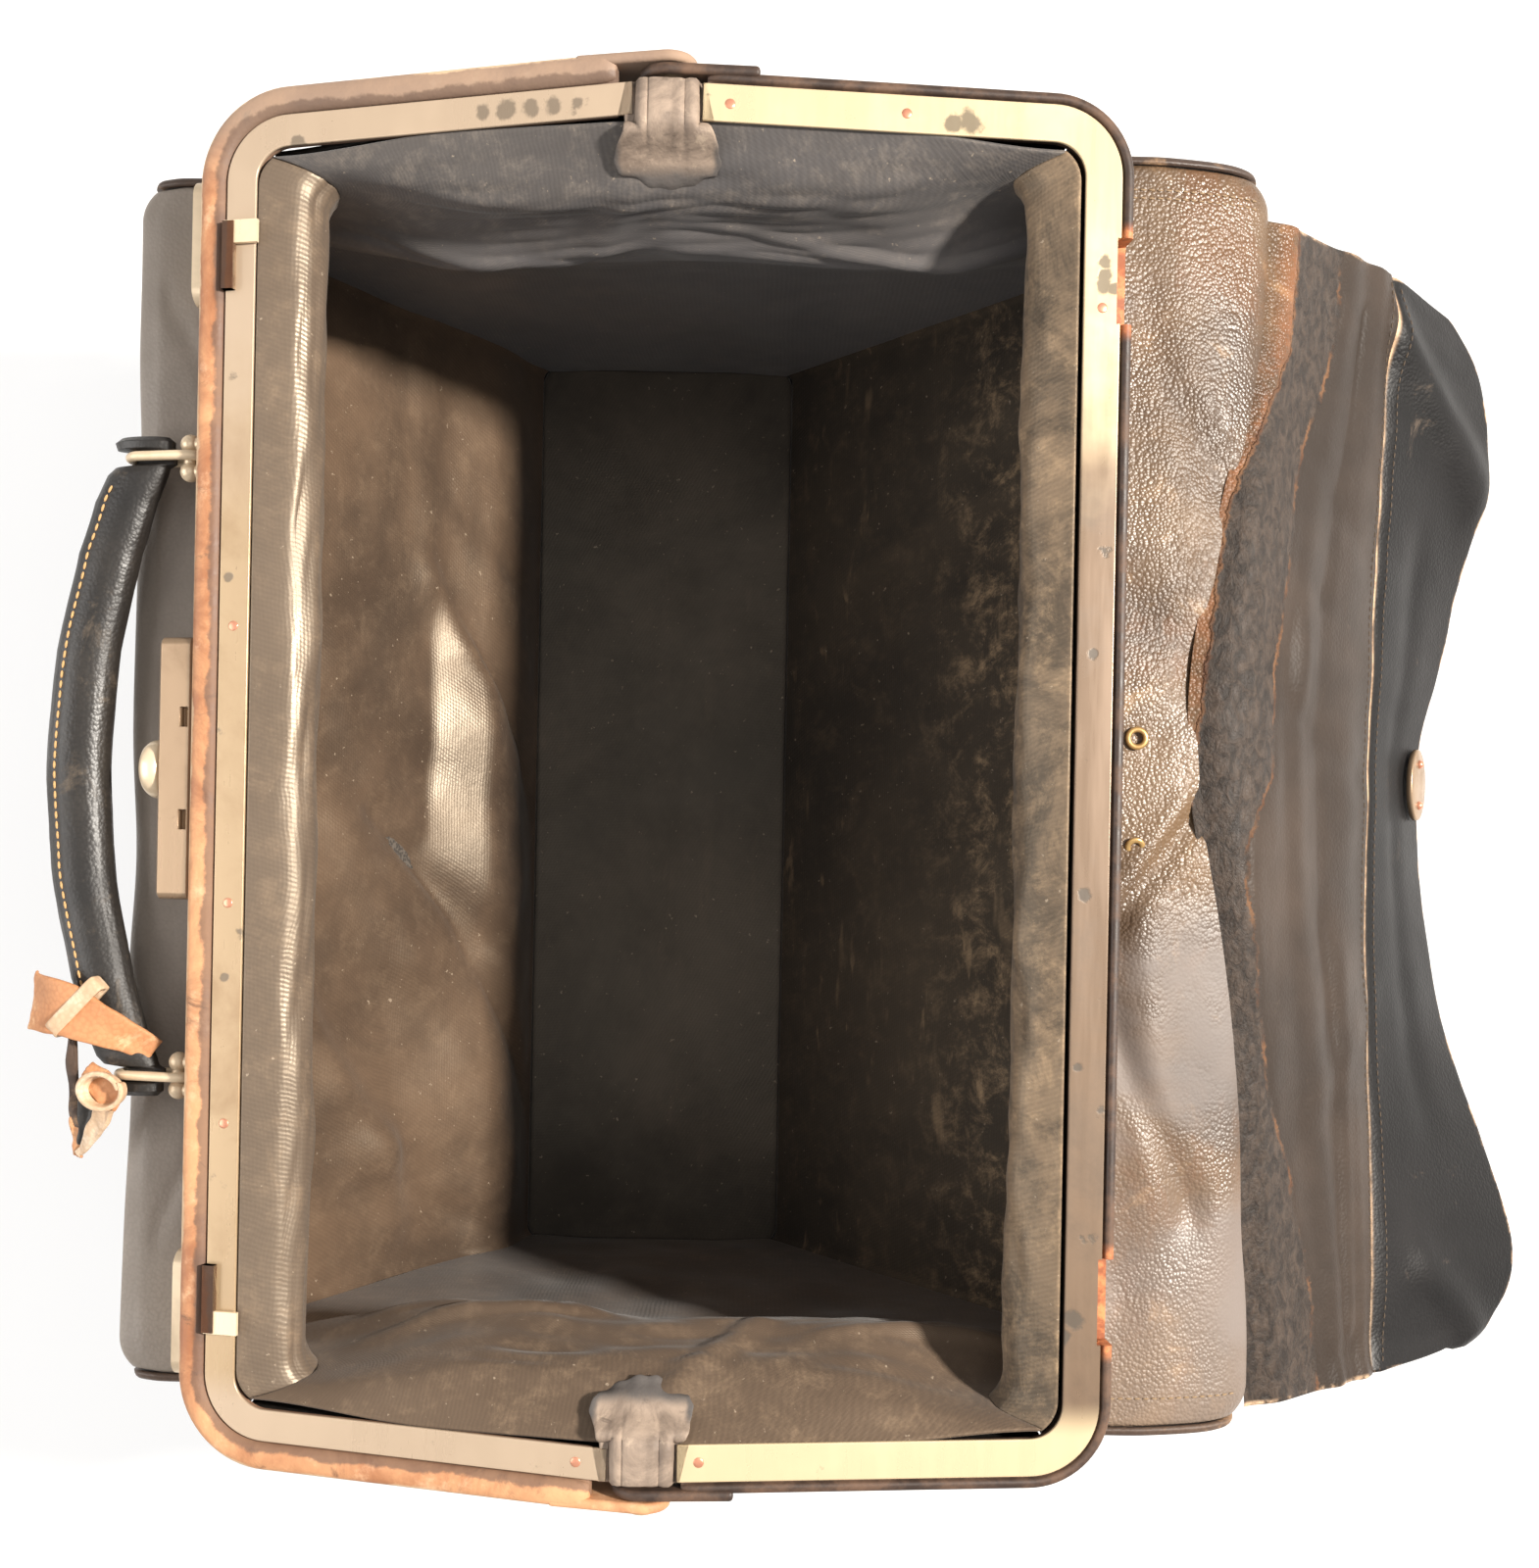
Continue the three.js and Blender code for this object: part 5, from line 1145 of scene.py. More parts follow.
# %% [markdown]
# ## The mouth frame
#
# Two steel halves, each bent to a U and covered, with a plated strip on the flat. A section is swept round
# the U. A Bezier curve with a bevel could do the same, but it would turn its section freely at the bends,
# and here the section has to stay level.

# %% Frame sizes
HINGE_HEIGHT, FACE_LIFT = 226, 6
# How far each half droops, in degrees, and in mm its reach from the hinge line, its half length at the hinges
# and at the bar, its corners' radius, and where its leg, its strip and its hinge plate start
FRONT = {
    "side": -1, "droop": 11, "reach": 141.5, "hinge": 209, "bar": 206.4, "corner": 28,
    "leg": 14, "strip": 9, "plate": 205.6,
}
BACK = {
    "side": 1, "droop": 3.5, "reach": 135.6, "hinge": 203.4, "bar": 202, "corner": 24,
    "leg": 11, "strip": 9.5, "plate": 202,
}
STRIP_SLANT = 0.25  # how much a strip's ends are cut aslant
CORNER_STEPS = 18


def half_turn(half):
    """From a half drawn flat, in metres, to where it lies on the bag."""
    turn = Matrix.Rotation(math.radians(half["droop"]) * half["side"], 4, "Y")
    return Matrix.Translation((0, 0, HINGE_HEIGHT * MM)) @ turn


for name, half in (("front", FRONT), ("back", BACK)):
    drop = half["reach"] * math.sin(math.radians(half["droop"]))
    print(name, "bar is", round(drop, 1), "mm lower than the hinges")

# %% A section swept round the U
NOSE = 5  # mm over which a leg's end is rounded off
NOSE_STEPS = NOSE * np.array([0, 0.06, 0.22, 0.5])


def u_path(half, start):
    """The U's outer edge, from one hinge end to the other, with many points on its straights too."""
    in_x, in_y = half["reach"] - half["corner"], half["bar"] - half["corner"]
    angles = np.linspace(np.pi / 2, 0, CORNER_STEPS)
    leg_x = np.concatenate([start + NOSE_STEPS, np.linspace(start + NOSE, in_x, 12)[:-1]])
    leg = np.stack([leg_x, np.interp(leg_x, [start, in_x], [half["hinge"], half["bar"]])], axis=1)
    bend = np.stack([in_x + half["corner"] * np.cos(angles), in_y + half["corner"] * np.sin(angles)], axis=1)
    bar = np.stack([np.full(15, half["reach"]), np.linspace(in_y, 0, 16)[1:]], axis=1)
    one = np.concatenate([leg, bend, bar])
    return np.concatenate([one, one[-2::-1] * [1, -1]])


def u_bar(name, half, start, section, material, slant=0.0, rim=0.0):
    """A section swept round the U. Its raised rim, as wide as given, is rounded off at the two ends."""
    path = u_path(half, start)
    step = unit(np.diff(path, axis=0))
    before, after = np.concatenate([step[:1], step]), np.concatenate([step, step[-1:]])
    along = unit(before + after)
    spread = 1 / (along * after).sum(1, keepdims=True)
    across = np.stack([along[:, 1], -along[:, 0]], axis=1) * spread
    across[0] += along[0] * slant
    across[-1] -= along[-1] * slant
    side = half["side"]
    places = np.stack([side * path[:, 0], path[:, 1], np.full(len(path), FACE_LIFT)], axis=1)
    across = np.stack([side * across[:, 0], across[:, 1], np.zeros(len(path))], axis=1)
    section = np.array(section, float)
    sections = np.tile(section, (len(path), 1, 1))
    in_rim = (section[:, 0] < rim) & (section[:, 1] > 0)
    for i, near in enumerate(NOSE_STEPS / NOSE):
        height = math.sqrt(1 - 0.95 * (1 - near) ** 2)
        for station in (i, -1 - i):
            sections[station, in_rim, 1] *= height
            sections[station, in_rim, 0] = rim / 2 + (section[in_rim, 0] - rim / 2) * (0.5 + 0.5 * height)
    bar = sweep(name, places, across, (0, 0, 1), sections, material)
    # Points low on the section get rim + 1, which the front rim's finish paints dark: painted shade beside
    # the strip and dark leather on the outer wall.
    paint(bar, inward=np.where(section[:, 1] < 0.5, rim + 1, section[:, 0]))
    return bar


# %% Hinge plates and rounded sections
LOBE = {"radius": 8.5, "length": 26, "thick": 3.2, "bevel": 1.3}


def lobe(name, half, end, material):
    """A leg's hinge end: a flat round-nosed plate."""
    radius, length = LOBE["radius"], LOBE["length"]
    angles = np.linspace(-np.pi / 2, np.pi / 2, 21)
    outline = [(-half["side"] * radius * math.cos(a), radius * math.sin(a)) for a in angles]
    outline += [(half["side"] * length, radius), (half["side"] * length, -radius)]
    y0, y1 = end * half["plate"], end * (half["plate"] + LOBE["thick"])
    count = len(outline)
    points = [(x, y0, z) for x, z in outline] + [(x, y1, z) for x, z in outline]
    ring = list(range(count))
    faces = [ring, [count + i for i in ring[::-1]]]
    faces += [[i, (i + 1) % count, count + (i + 1) % count, count + i] for i in ring]
    obj = piece(name, points, faces, material)
    bevel = obj.modifiers.new("edges", "BEVEL")
    bevel.width, bevel.segments, bevel.limit_method = LOBE["bevel"] * MM, 3, "ANGLE"
    plain(obj)
    paint(obj, inward=np.full(len(obj.data.vertices), 4.4))
    return obj


def rounded(points, radius=0.5, steps=3):
    """A section with its corners cut round."""
    points = [np.array(p, float) for p in points]
    made = []
    for before, here, after in zip(points[-1:] + points[:-1], points, points[1:] + points[:1]):
        a, b = before - here, after - here
        reach = min(radius, np.linalg.norm(a) / 2.1, np.linalg.norm(b) / 2.1)
        a, b = here + a / np.linalg.norm(a) * reach, here + b / np.linalg.norm(b) * reach
        for w in np.linspace(0, 1, steps):
            made.append((1 - w) ** 2 * a + 2 * w * (1 - w) * here + w**2 * b)
    return made


# %% [markdown]
# ## Frame halves and strips
#
# The two sections below are seen along the bar: a raised rim, a flat for the plated strip, and a wall that
# goes down into the leather. The catches slide in slots in the front half and rest in notches in the back
# one. A sweep can't leave holes, so these are taken out of the finished bars with a Boolean modifier.

# %% Sections and slots
FRONT_SECTION = rounded([
    (0, -20), (0, 1.2), (1.3, 2.6), (4.2, 3.1), (7.0, 2.4), (8.2, 0.9), (8.2, 0), (17.6, 0), (17.6, -2.4),
    (3, -2.4), (3, -20),
], 1.2)
BACK_SECTION = rounded([
    (0, -20), (0, 0.9), (0.9, 1.7), (2.6, 1.7), (3.2, 0), (14, 0), (14, -2.4), (3, -2.4), (3, -20),
], 0.7)


def strip_section(near, far):
    return rounded([(near, 0.4), (near, 1.6), (far, 1.6), (far, 0.4)], 0.45, 4)


CATCH_Y, CATCH_TRAVEL = 163, 14
# From near to far in from the bar's outer edge, low to high, with room beyond the catch's travel
STRIP_SLOT = {"near": 8.4, "far": 12, "low": 2, "high": 10, "room": 3.1}
WALL_SLOT = {"near": -1, "far": 4, "low": -2, "high": 1.8, "room": 2.9}
KEEPER = {"y": 148, "length": 25, "depth": 4.8}


def catch_slot(end, size):
    """A slot in the front half that a catch slides in."""
    low, high = sorted((end * (CATCH_Y + size["room"]), end * (CATCH_Y - CATCH_TRAVEL - size["room"])))
    near, far = (-(FRONT["reach"] - size[edge]) for edge in ("near", "far"))
    return (near, low, size["low"]), (far, high, size["high"]), half_turn(FRONT)


def keeper_notch(end):
    """A notch in the back half's edge for a catch."""
    y, half = end * KEEPER["y"], KEEPER["length"] / 2
    near, far = BACK["reach"] - KEEPER["depth"], BACK["reach"] + 1
    return (near, y - half, 0), (far, y + half, 10), half_turn(BACK)


def laid(obj, half):
    return moved(obj, half_turn(half))


strip_slots, wall_slots = ([catch_slot(end, size) for _, end in ENDS] for size in (STRIP_SLOT, WALL_SLOT))
notches = [keeper_notch(end) for _, end in ENDS]
print("slots and notches:", len(strip_slots + wall_slots + notches))

# %% Frame halves and strips
front_half = laid(joined("front_half", [
    u_bar("front_bar", FRONT, FRONT["leg"], FRONT_SECTION, rim_finish, rim=8.3),
    lobe("lobe_a", FRONT, 1, rim_finish),
    lobe("lobe_b", FRONT, -1, rim_finish),
]), FRONT)
back_half = laid(joined("back_half", [
    u_bar("back_bar", BACK, BACK["leg"], BACK_SECTION, back_rim_finish, rim=3.3),
    lobe("lobe_c", BACK, 1, back_rim_finish),
    lobe("lobe_d", BACK, -1, back_rim_finish),
]), BACK)
front_flat, back_flat = strip_section(8.6, 18), strip_section(3.6, 14.4)
front_strip = laid(u_bar("front_trim", FRONT, FRONT["strip"], front_flat, front_plate, STRIP_SLANT), FRONT)
back_strip = laid(u_bar("back_trim", BACK, BACK["strip"], back_flat, back_plate, STRIP_SLANT), BACK)
crisp(cut(front_half, strip_slots + wall_slots))
crisp(cut(front_strip, strip_slots))
crisp(cut(back_half, notches))
crisp(cut(back_strip, notches))
dress(front_half, "bag", "rusted_frame", "front_frame")
dress(back_half, "bag", "covered_frame", "back_frame")
dress(front_strip, "bag", "plated_metal", "front_strip")
dress(back_strip, "bag", "plated_metal", "back_strip")
print("frame:", [len(o.data.polygons) for o in (front_half, back_half, front_strip, back_strip)], "faces")

# %% [markdown]
# ## Hinges
#
# The two halves turn on a rivet at each end, and a worn leather tab covers the gap between the strips. A
# rivet is turned from a profile. A tab is a sheet whose inner end hangs down onto the lining. A Shrinkwrap
# modifier could lay it there, but it would follow every thread, so the cloth's height is asked for instead.

# %% Hinge rivets
RIVET = {"shank": 2.4, "head": 5, "height": 2, "inner": 201.6, "outer": 209.2}


def dome(radius, height, base, steps=7):
    """Half a flattened ball as (radius, height) pairs, from its edge to its top."""
    angles = np.linspace(0, np.pi / 2 - 0.08, steps)
    return [(radius * math.cos(a), base + height * math.sin(a)) for a in angles]


for end_name, end in ENDS:
    head, height = RIVET["head"], RIVET["height"]
    inner = [(r, 2 * RIVET["inner"] - z) for r, z in dome(head, height, RIVET["inner"])][::-1]
    profile = inner + [(RIVET["shank"], RIVET["inner"]), (RIVET["shank"], RIVET["outer"])]
    profile += dome(head, height, RIVET["outer"])
    rivet = lathe(f"pin_{end_name}", profile, rim_finish)
    turn = Matrix.Rotation(-end * np.pi / 2, 4, "X")
    dress(moved(rivet, at(0, 0, HINGE_HEIGHT) @ turn), "bag", "rusted_frame", f"hinge_rivet_{end_name}")

# %% Hinge tabs
TAB_ROWS = named(("y", "z", "half"), [
    (201, 232.0, 12.4), (196, 232.8, 12.4), (192, 233.4, 12.4), (189, 233.2, 12.6), (186, 231.6, 13.6),
    (183, 228.6, 14.6), (180, 225.0, 15.0), (177, 221.8, 13.6), (174.5, 219.4, 11.6),
])
# Across, width and depth of its lengthwise dents
TAB_GROOVES = ((4.8, 1.2, 0.8), (-5.8, 0.9, 0.6), (1.2, 1.6, 0.3))
TAB_FREE = 189  # mm along the bag: inside this the tab hangs freely
ABOVE_CLOTH = 2.7  # mm from the lining's own rows to a tab that lies on them
for end_name, end, seed in (("left", 1, 51), ("right", -1, 61)):
    cloth = lining_grids[end_name]
    over_cloth = cloth[np.abs(cloth[:, 80, 0]) < 16, -70:].max(axis=0) * [1, end, 1]
    u, t = np.meshgrid(edge_steps(44, 0.03), edge_steps(60, 0.02), indexing="ij")
    y, z, half = (column(TAB_ROWS[c], t) for c in ("y", "z", "half"))
    free = smoothstep((TAB_FREE - y) / 8)
    fray = 0.5 + 0.9 * free
    edge = np.sign(u - 0.5) * 40  # keeps the fraying of its two edges apart
    half = half + fray * ripples(y, edge, 9, seed) + 0.5 * free * ripples(y, edge, 3, seed + 5)
    x = (u * 2 - 1) * np.where(u > 0.5, half - 2 * smoothstep((y - 186) / 3), half)
    wing = smoothstep((np.abs(x) - 7.2) / 1.5) * smoothstep((y - 186.5) / 2.5)
    z = z - 3.6 * wing
    order = np.argsort(over_cloth[:, 1])
    lying = np.interp(y, over_cloth[order, 1], over_cloth[order, 2]) + ABOVE_CLOTH
    z = z + (np.minimum(lying, z) - z) * free
    z = z + 0.3 * free * ripples(x, y, 13, seed + 1)
    for across, wide, deep in TAB_GROOVES:
        z = z - deep * np.exp(-(((x - across) / wide) ** 2)) * smoothstep((y - 180) / 5)
    ragged_end = smoothstep((t - 0.8) / 0.2) * (1.2 * ripples(x, 0 * x, 8, seed + 2) + 0.03 * x**2)
    grid = np.stack([x, end * (y + ragged_end), z], axis=2)
    thin = 1 - 0.7 * free
    tab = sheet(f"tab_{end_name}", grid, 0, -end * CLOTH * thin, tab_finish, rounding=0.6)
    at_side = smoothstep((np.abs(u - 0.5) - 0.36) / 0.14)
    paint(tab, fade=free * np.maximum(smoothstep((184 - y) / 8), at_side))
    dress(tab, "bag", "worn_leather", f"hinge_tab_{end_name}")

# %% [markdown]
# ## Lock and catches
#
# The lock's box and the two catches are cut from plate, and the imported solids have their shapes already.
# Each solid's mesh is copied, its flat faces are merged and a Bevel modifier rounds its edges, which then
# catch the light. Drawing them again would only bring in small differences. The button is turned.


# %% Lock and catches
def rounded_copy(name, node, width, material):
    """A solid's own shape with its edges rounded off."""
    shape = bmesh.new()
    shape.from_mesh(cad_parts[node].data)
    bmesh.ops.remove_doubles(shape, verts=shape.verts, dist=1e-6)
    bmesh.ops.dissolve_limit(shape, angle_limit=0.02, verts=shape.verts, edges=shape.edges)
    mesh = bpy.data.meshes.new(name)
    shape.to_mesh(mesh)
    shape.free()
    mesh.materials.clear()
    mesh.materials.append(material)
    obj = bpy.data.objects.new(name, mesh)
    scene.collection.objects.link(obj)
    bevel = obj.modifiers.new("edges", "BEVEL")
    bevel.width, bevel.segments, bevel.limit_method = width * MM, 3, "ANGLE"
    bevel.angle_limit = math.radians(35)
    plain(obj)
    obj.data.polygons.foreach_set("use_smooth", [True] * len(obj.data.polygons))
    return crisp(obj)


dress(rounded_copy("lock_box", "lock_case", 0.5, fitting_plate), "bag", "plated_metal", "lock_case")
for end_name in ("left", "right"):
    hook = rounded_copy(f"slide_{end_name}", f"catch_{end_name}", 0.4, cream_plate_painted_light)
    dress(hook, f"{end_name}_catch", "plated_metal", f"catch_{end_name}")

BUTTON_PROFILE = [
    (2.4, -3), (2.4, 0.4), (7.4, 0.4), (8.5, 0.9), (9.1, 2.2), (9.1, 4.2), (8.7, 5.8), (7.8, 7.0), (6.2, 7.8),
    (3.8, 8.25), (0.3, 8.4),
]
LOCK_Y, LOCK_DEPTH, BUTTON_DROP = 2.7, 10.7, -9
LOCK_FACE = FRONT["reach"] + GAP + LOCK_DEPTH
knob = lathe("knob", BUTTON_PROFILE, cream_plate_painted_light, 48)
outwards = Matrix.Rotation(-np.pi / 2, 4, "Y")
place = half_turn(FRONT) @ at(-LOCK_FACE, LOCK_Y, FACE_LIFT + BUTTON_DROP)
dress(moved(knob, place @ outwards), "button", "plated_metal", "lock_button")

# %% [markdown]
# ## Staples and rings
#
# The handle hangs on two wire rings, each held by a staple with a ball at either side. Balls, bars and posts
# are turned, which gives them their roundness with few faces, and then joined. A ring is a round section
# swept along a closed path. The handle's parts are drawn round its own hinge line and moved there at the end.

# %% Staples and rings
HANDLE_Y, STAND_OFF = 95, 6.9
HANDLE_PLACE = half_turn(FRONT) @ at(-(FRONT["reach"] + STAND_OFF), 3.5, FACE_LIFT - 9)
STAPLE = {"bar": 2, "half_bar": 4, "ball": 3.1, "apart": 4.2}
RING = {"radius": 5, "wire": 1.5, "straight": 14.4, "steps": 20}
CIRCLE = np.array([(math.cos(a), math.sin(a)) for a in np.linspace(0, 2 * np.pi, 17)[:-1]])


def ball(name, radius, material):
    """A ball, turned from half a circle that stops just short of the axis."""
    angles = np.linspace(-np.pi / 2 + 0.06, np.pi / 2 - 0.06, 15)
    return lathe(name, [(radius * math.cos(a), radius * math.sin(a)) for a in angles], material)


along_y, along_x = Matrix.Rotation(np.pi / 2, 4, "X"), Matrix.Rotation(np.pi / 2, 4, "Y")
turns = np.concatenate([
    np.linspace(-np.pi / 2, np.pi / 2, RING["steps"]),
    np.linspace(np.pi / 2, 1.5 * np.pi, RING["steps"]),
])
centre = np.repeat([0.0, -RING["straight"]], RING["steps"])
out = np.stack([np.cos(turns), 0 * turns, np.sin(turns)], axis=1)
places = out * RING["radius"] + np.stack([centre, 0 * centre, 0 * centre], axis=1)
for end_name, end in ENDS:
    half_bar = STAPLE["half_bar"]
    bar = lathe("bar", [(STAPLE["bar"], -half_bar), (STAPLE["bar"], half_bar)], cream_plate_painted_light)
    parts = [moved(bar, along_y)]
    for y in (STAPLE["apart"], -STAPLE["apart"]):
        parts.append(moved(ball("ball", STAPLE["ball"], cream_plate_painted_light), at(0, y, 0)))
        post = lathe("post", [(2, 0), (2.1, 2), (2.4, 5), (2.6, STAND_OFF - GAP)], cream_plate_painted_light)
        parts.append(moved(post, at(0, y, 0) @ along_x))
    staple = moved(joined(f"eye_{end_name}", parts), HANDLE_PLACE @ at(0, end * HANDLE_Y, 0))
    dress(staple, "bag", "plated_metal", f"staple_{end_name}")
    ring = sweep(f"wire_{end_name}", places, out, (0, 1, 0), CIRCLE * RING["wire"], cream_plate_painted_light, True)
    place = HANDLE_PLACE @ at(0, end * HANDLE_Y, 0)
    dress(moved(ring, place), "handle", "plated_metal", f"ring_{end_name}")

# %% [markdown]
# ## Grip
#
# Leather rolled round a core, pinched to a lip and sewn along its outer side. A tube could be bent with a
# Curve modifier and the lip sculpted. The grip is one section swept along a bow instead, with rows for how
# far out, wide and tall it is, because its ends, where it goes through the rings, change shape quickly.

# %% Grip
HALF_GRIP = [  # from the right-hand end to the middle, and the left-hand half is its mirror image
    (-101.5, 15, 8, 3), (-100, 15, 9.8, 4.6), (-97.8, 14.6, 9.4, 4.2), (-96.8, 11, 6.6, 2.6),
    (-93.2, 11, 6.6, 2.6), (-92.2, 15.8, 9, 4.4), (-90, 17.4, 9.8, 5.2), (-82, 21, 10, 5.9),
    (-66, 26, 10, 6.8), (-36, 33.2, 10, 7.6), (0, 36, 10.2, 7.8),
]
GRIP_ROWS = named(("y", "out", "wide", "tall"), HALF_GRIP + [(-y, *size) for y, *size in HALF_GRIP[-2::-1]])
STITCH_TURN = 1.17  # how far round from the lip the stitches run
END_POINTS = 52  # points at each end that are left unsmoothed
knots = np.array(GRIP_ROWS["y"], float)
fine = np.concatenate([np.linspace(a, b, 9)[:-1] for a, b in zip(knots[:-1], knots[1:])] + [knots[-1:]])
out, wide, tall = (np.interp(fine, knots, GRIP_ROWS[c]) for c in ("out", "wide", "tall"))
kernel = np.hanning(9) / np.hanning(9).sum()
bow = slice(END_POINTS, len(fine) - END_POINTS)
for values in (out, wide, tall):
    values[bow] = np.convolve(values, kernel, "same")[bow]
turns = np.linspace(0, 2 * np.pi, 57)[:-1]
lip = np.exp(-(((turns - np.pi) / 0.34) ** 2))
groove = sum(np.exp(-(((turns - (np.pi + s * STITCH_TURN)) / 0.09) ** 2)) for s in (1, -1))
body_share = smoothstep((88 - np.abs(fine)) / 8)[:, None]
across = np.cos(turns) * (1 + 0.03 * lip - 0.02 * groove)
upward = np.sin(turns) * (1 - 0.3 * lip * body_share) * (1 - 0.07 * groove * body_share)
wear = 0.18 * ripples(fine[:, None], 60 * turns[None], 14, 71) * body_share
sections = np.stack([wide[:, None] * across + wear, tall[:, None] * upward], axis=2)
places = np.stack([-out, fine, 0 * fine], axis=1)
grip = sweep("grip", places, (1, 0, 0), (0, 0, 1), sections, handle_hide)
dress(moved(grip, HANDLE_PLACE), "handle", "handle_leather", "handle_grip")

# %% [markdown]
# ## Stitches
#
# Thread goes in and out of the leather at an even pitch, so a seam is one small shape set again and again
# along a path. An Array modifier on a curve would bend the stitches with it. A Geometry Nodes group sets a
# stretched ball at each step of a path and turns it along the path. The same group sews every seam here.


# %% Stitches with Geometry Nodes
def stitch_group():
    """Geometry Nodes: stitches of a given length and thickness, one pitch apart along a path."""
    group = bpy.data.node_groups.new("stitches", "GeometryNodeTree")
    group.interface.new_socket("Path", in_out="INPUT", socket_type="NodeSocketGeometry")
    for name in ("Pitch", "Length", "Thickness"):
        group.interface.new_socket(name, in_out="INPUT", socket_type="NodeSocketFloat")
    group.interface.new_socket("Thread", in_out="INPUT", socket_type="NodeSocketMaterial")
    group.interface.new_socket("Stitches", in_out="OUTPUT", socket_type="NodeSocketGeometry")
    nodes, link = group.nodes, group.links.new
    given, result = nodes.new("NodeGroupInput"), nodes.new("NodeGroupOutput")
    curve = nodes.new("GeometryNodeMeshToCurve")
    points = nodes.new("GeometryNodeCurveToPoints")
    points.mode = "LENGTH"
    grain = nodes.new("GeometryNodeMeshUVSphere")
    grain.inputs["Segments"].default_value, grain.inputs["Rings"].default_value = 8, 6
    grain.inputs["Radius"].default_value = 0.5
    size = nodes.new("ShaderNodeCombineXYZ")
    placed = nodes.new("GeometryNodeInstanceOnPoints")
    real = nodes.new("GeometryNodeRealizeInstances")
    finish = nodes.new("GeometryNodeSetMaterial")
    link(given.outputs["Path"], curve.inputs["Mesh"])
    link(curve.outputs["Curve"], points.inputs["Curve"])
    link(given.outputs["Pitch"], points.inputs["Length"])
    link(points.outputs["Points"], placed.inputs["Points"])
    link(points.outputs["Rotation"], placed.inputs["Rotation"])
    link(grain.outputs["Mesh"], placed.inputs["Instance"])
    for axis, name in (("X", "Thickness"), ("Y", "Thickness"), ("Z", "Length")):
        link(given.outputs[name], size.inputs[axis])
    link(size.outputs["Vector"], placed.inputs["Scale"])
    link(placed.outputs["Instances"], real.inputs["Geometry"])
    link(real.outputs["Geometry"], finish.inputs["Geometry"])
    link(given.outputs["Thread"], finish.inputs["Material"])
    link(finish.outputs["Geometry"], result.inputs["Stitches"])
    return group


STITCHES = stitch_group()
print("the stitches' group:", len(STITCHES.nodes), "nodes")


# %% Rows of stitches, first along the grip
def stitched(name, paths, pitch, length, thickness, thread_finish, body, slot):
    """Rows of stitches along paths of points in mm, as one plain mesh on a body."""
    points = np.concatenate(paths) * MM
    starts = np.cumsum([0] + [len(p) for p in paths])
    edges = [(i, i + 1) for a, b in zip(starts[:-1], starts[1:]) for i in range(a, b - 1)]
    mesh = bpy.data.meshes.new(name)
    mesh.from_pydata([tuple(p) for p in points], edges, [])
    obj = bpy.data.objects.new(name, mesh)
    scene.collection.objects.link(obj)
    modifier = obj.modifiers.new("stitches", "NODES")
    modifier.node_group = STITCHES
    values = {
        "Pitch": pitch * MM, "Length": length * MM, "Thickness": thickness * MM, "Thread": thread_finish
    }
    for socket in STITCHES.interface.items_tree:
        if socket.in_out == "INPUT" and socket.name in values:
            modifier[socket.identifier] = values[socket.name]
    plain(obj)
    obj.data.polygons.foreach_set("use_smooth", [True] * len(obj.data.polygons))
    print(name, len(obj.data.polygons), "faces")
    return dress(obj, body, slot)


def placed_by(matrix, points):
    return np.array([matrix @ Vector(p * MM) for p in points]) / MM


keep = np.abs(fine) < 86
rows = []
for side in (1, -1):
    k = int(round((np.pi - side * STITCH_TURN) / (2 * np.pi) * len(turns))) % len(turns)
    on_skin = np.stack([sections[keep, k, 0], 0 * fine[keep], sections[keep, k, 1] + side * 0.15], axis=1)
    rows.append(placed_by(HANDLE_PLACE, places[keep] + on_skin))
stitched("grip_stitches", rows, 3.1, 2.5, 0.9, tan_thread, "handle", "handle_leather")

# %% [markdown]
# ## Torn strap
#
# What is left of a tan strap lies over the handle's right-hand end: a band, a keeper round it, and an end
# torn to shreds, one of them curled up. Each strip is a sheet bent along a few rows, as the walls are. A
# cloth simulation would let them fall, but old leather keeps the shape it dried in.

# %% Torn strap
STRAP_COLUMNS = ("out", "y", "up", "half")
BAND_ROWS = named(STRAP_COLUMNS, [
    (46, -73.2, 5, 9), (36, -74, 9.8, 8.6), (26.4, -77, 10.6, 7.6), (18.6, -80.6, 8.2, 5.8),
    (12.8, -84.2, 3.6, 5), (8, -87.8, 0.6, 4.2),
])
SHREDS = [  # the strips that the strap's end has torn into: how far each curls up, its leather and its rows
    (0.3, edge_hide, [
        (31.5, -84, 7, 1.6), (32.6, -94, 4.5, 1.7), (33.4, -104, 1.5, 1.8), (34.2, -112, -1, 2.0),
    ]),
    (0.9, tan_hide, [
        (33.8, -106, 1, 1.2), (34.4, -111, -1, 2.3), (34.8, -117, -3, 2.1), (35.4, -122, -4.4, 1.4),
    ]),
    (0.4, black_hide, [
        (26, -98, 5, 3.0), (28.4, -105, 2.4, 3.2), (31, -112, -0.6, 2.2), (33.4, -118, -3, 1.2),
    ]),
    (0.2, tan_hide, [
        (27, -93.6, 5.4, 3.0), (21, -98.8, 6.2, 4.8), (15.4, -103, 6.2, 3.2),
    ]),
    (0.8, pale_hide, [
        (19.5, -103.5, 6.6, 3.4), (23.5, -109, 3.6, 3.4), (29, -115.4, 0, 2.4), (34.6, -121.6, -3.6, 1.0),
    ]),
]


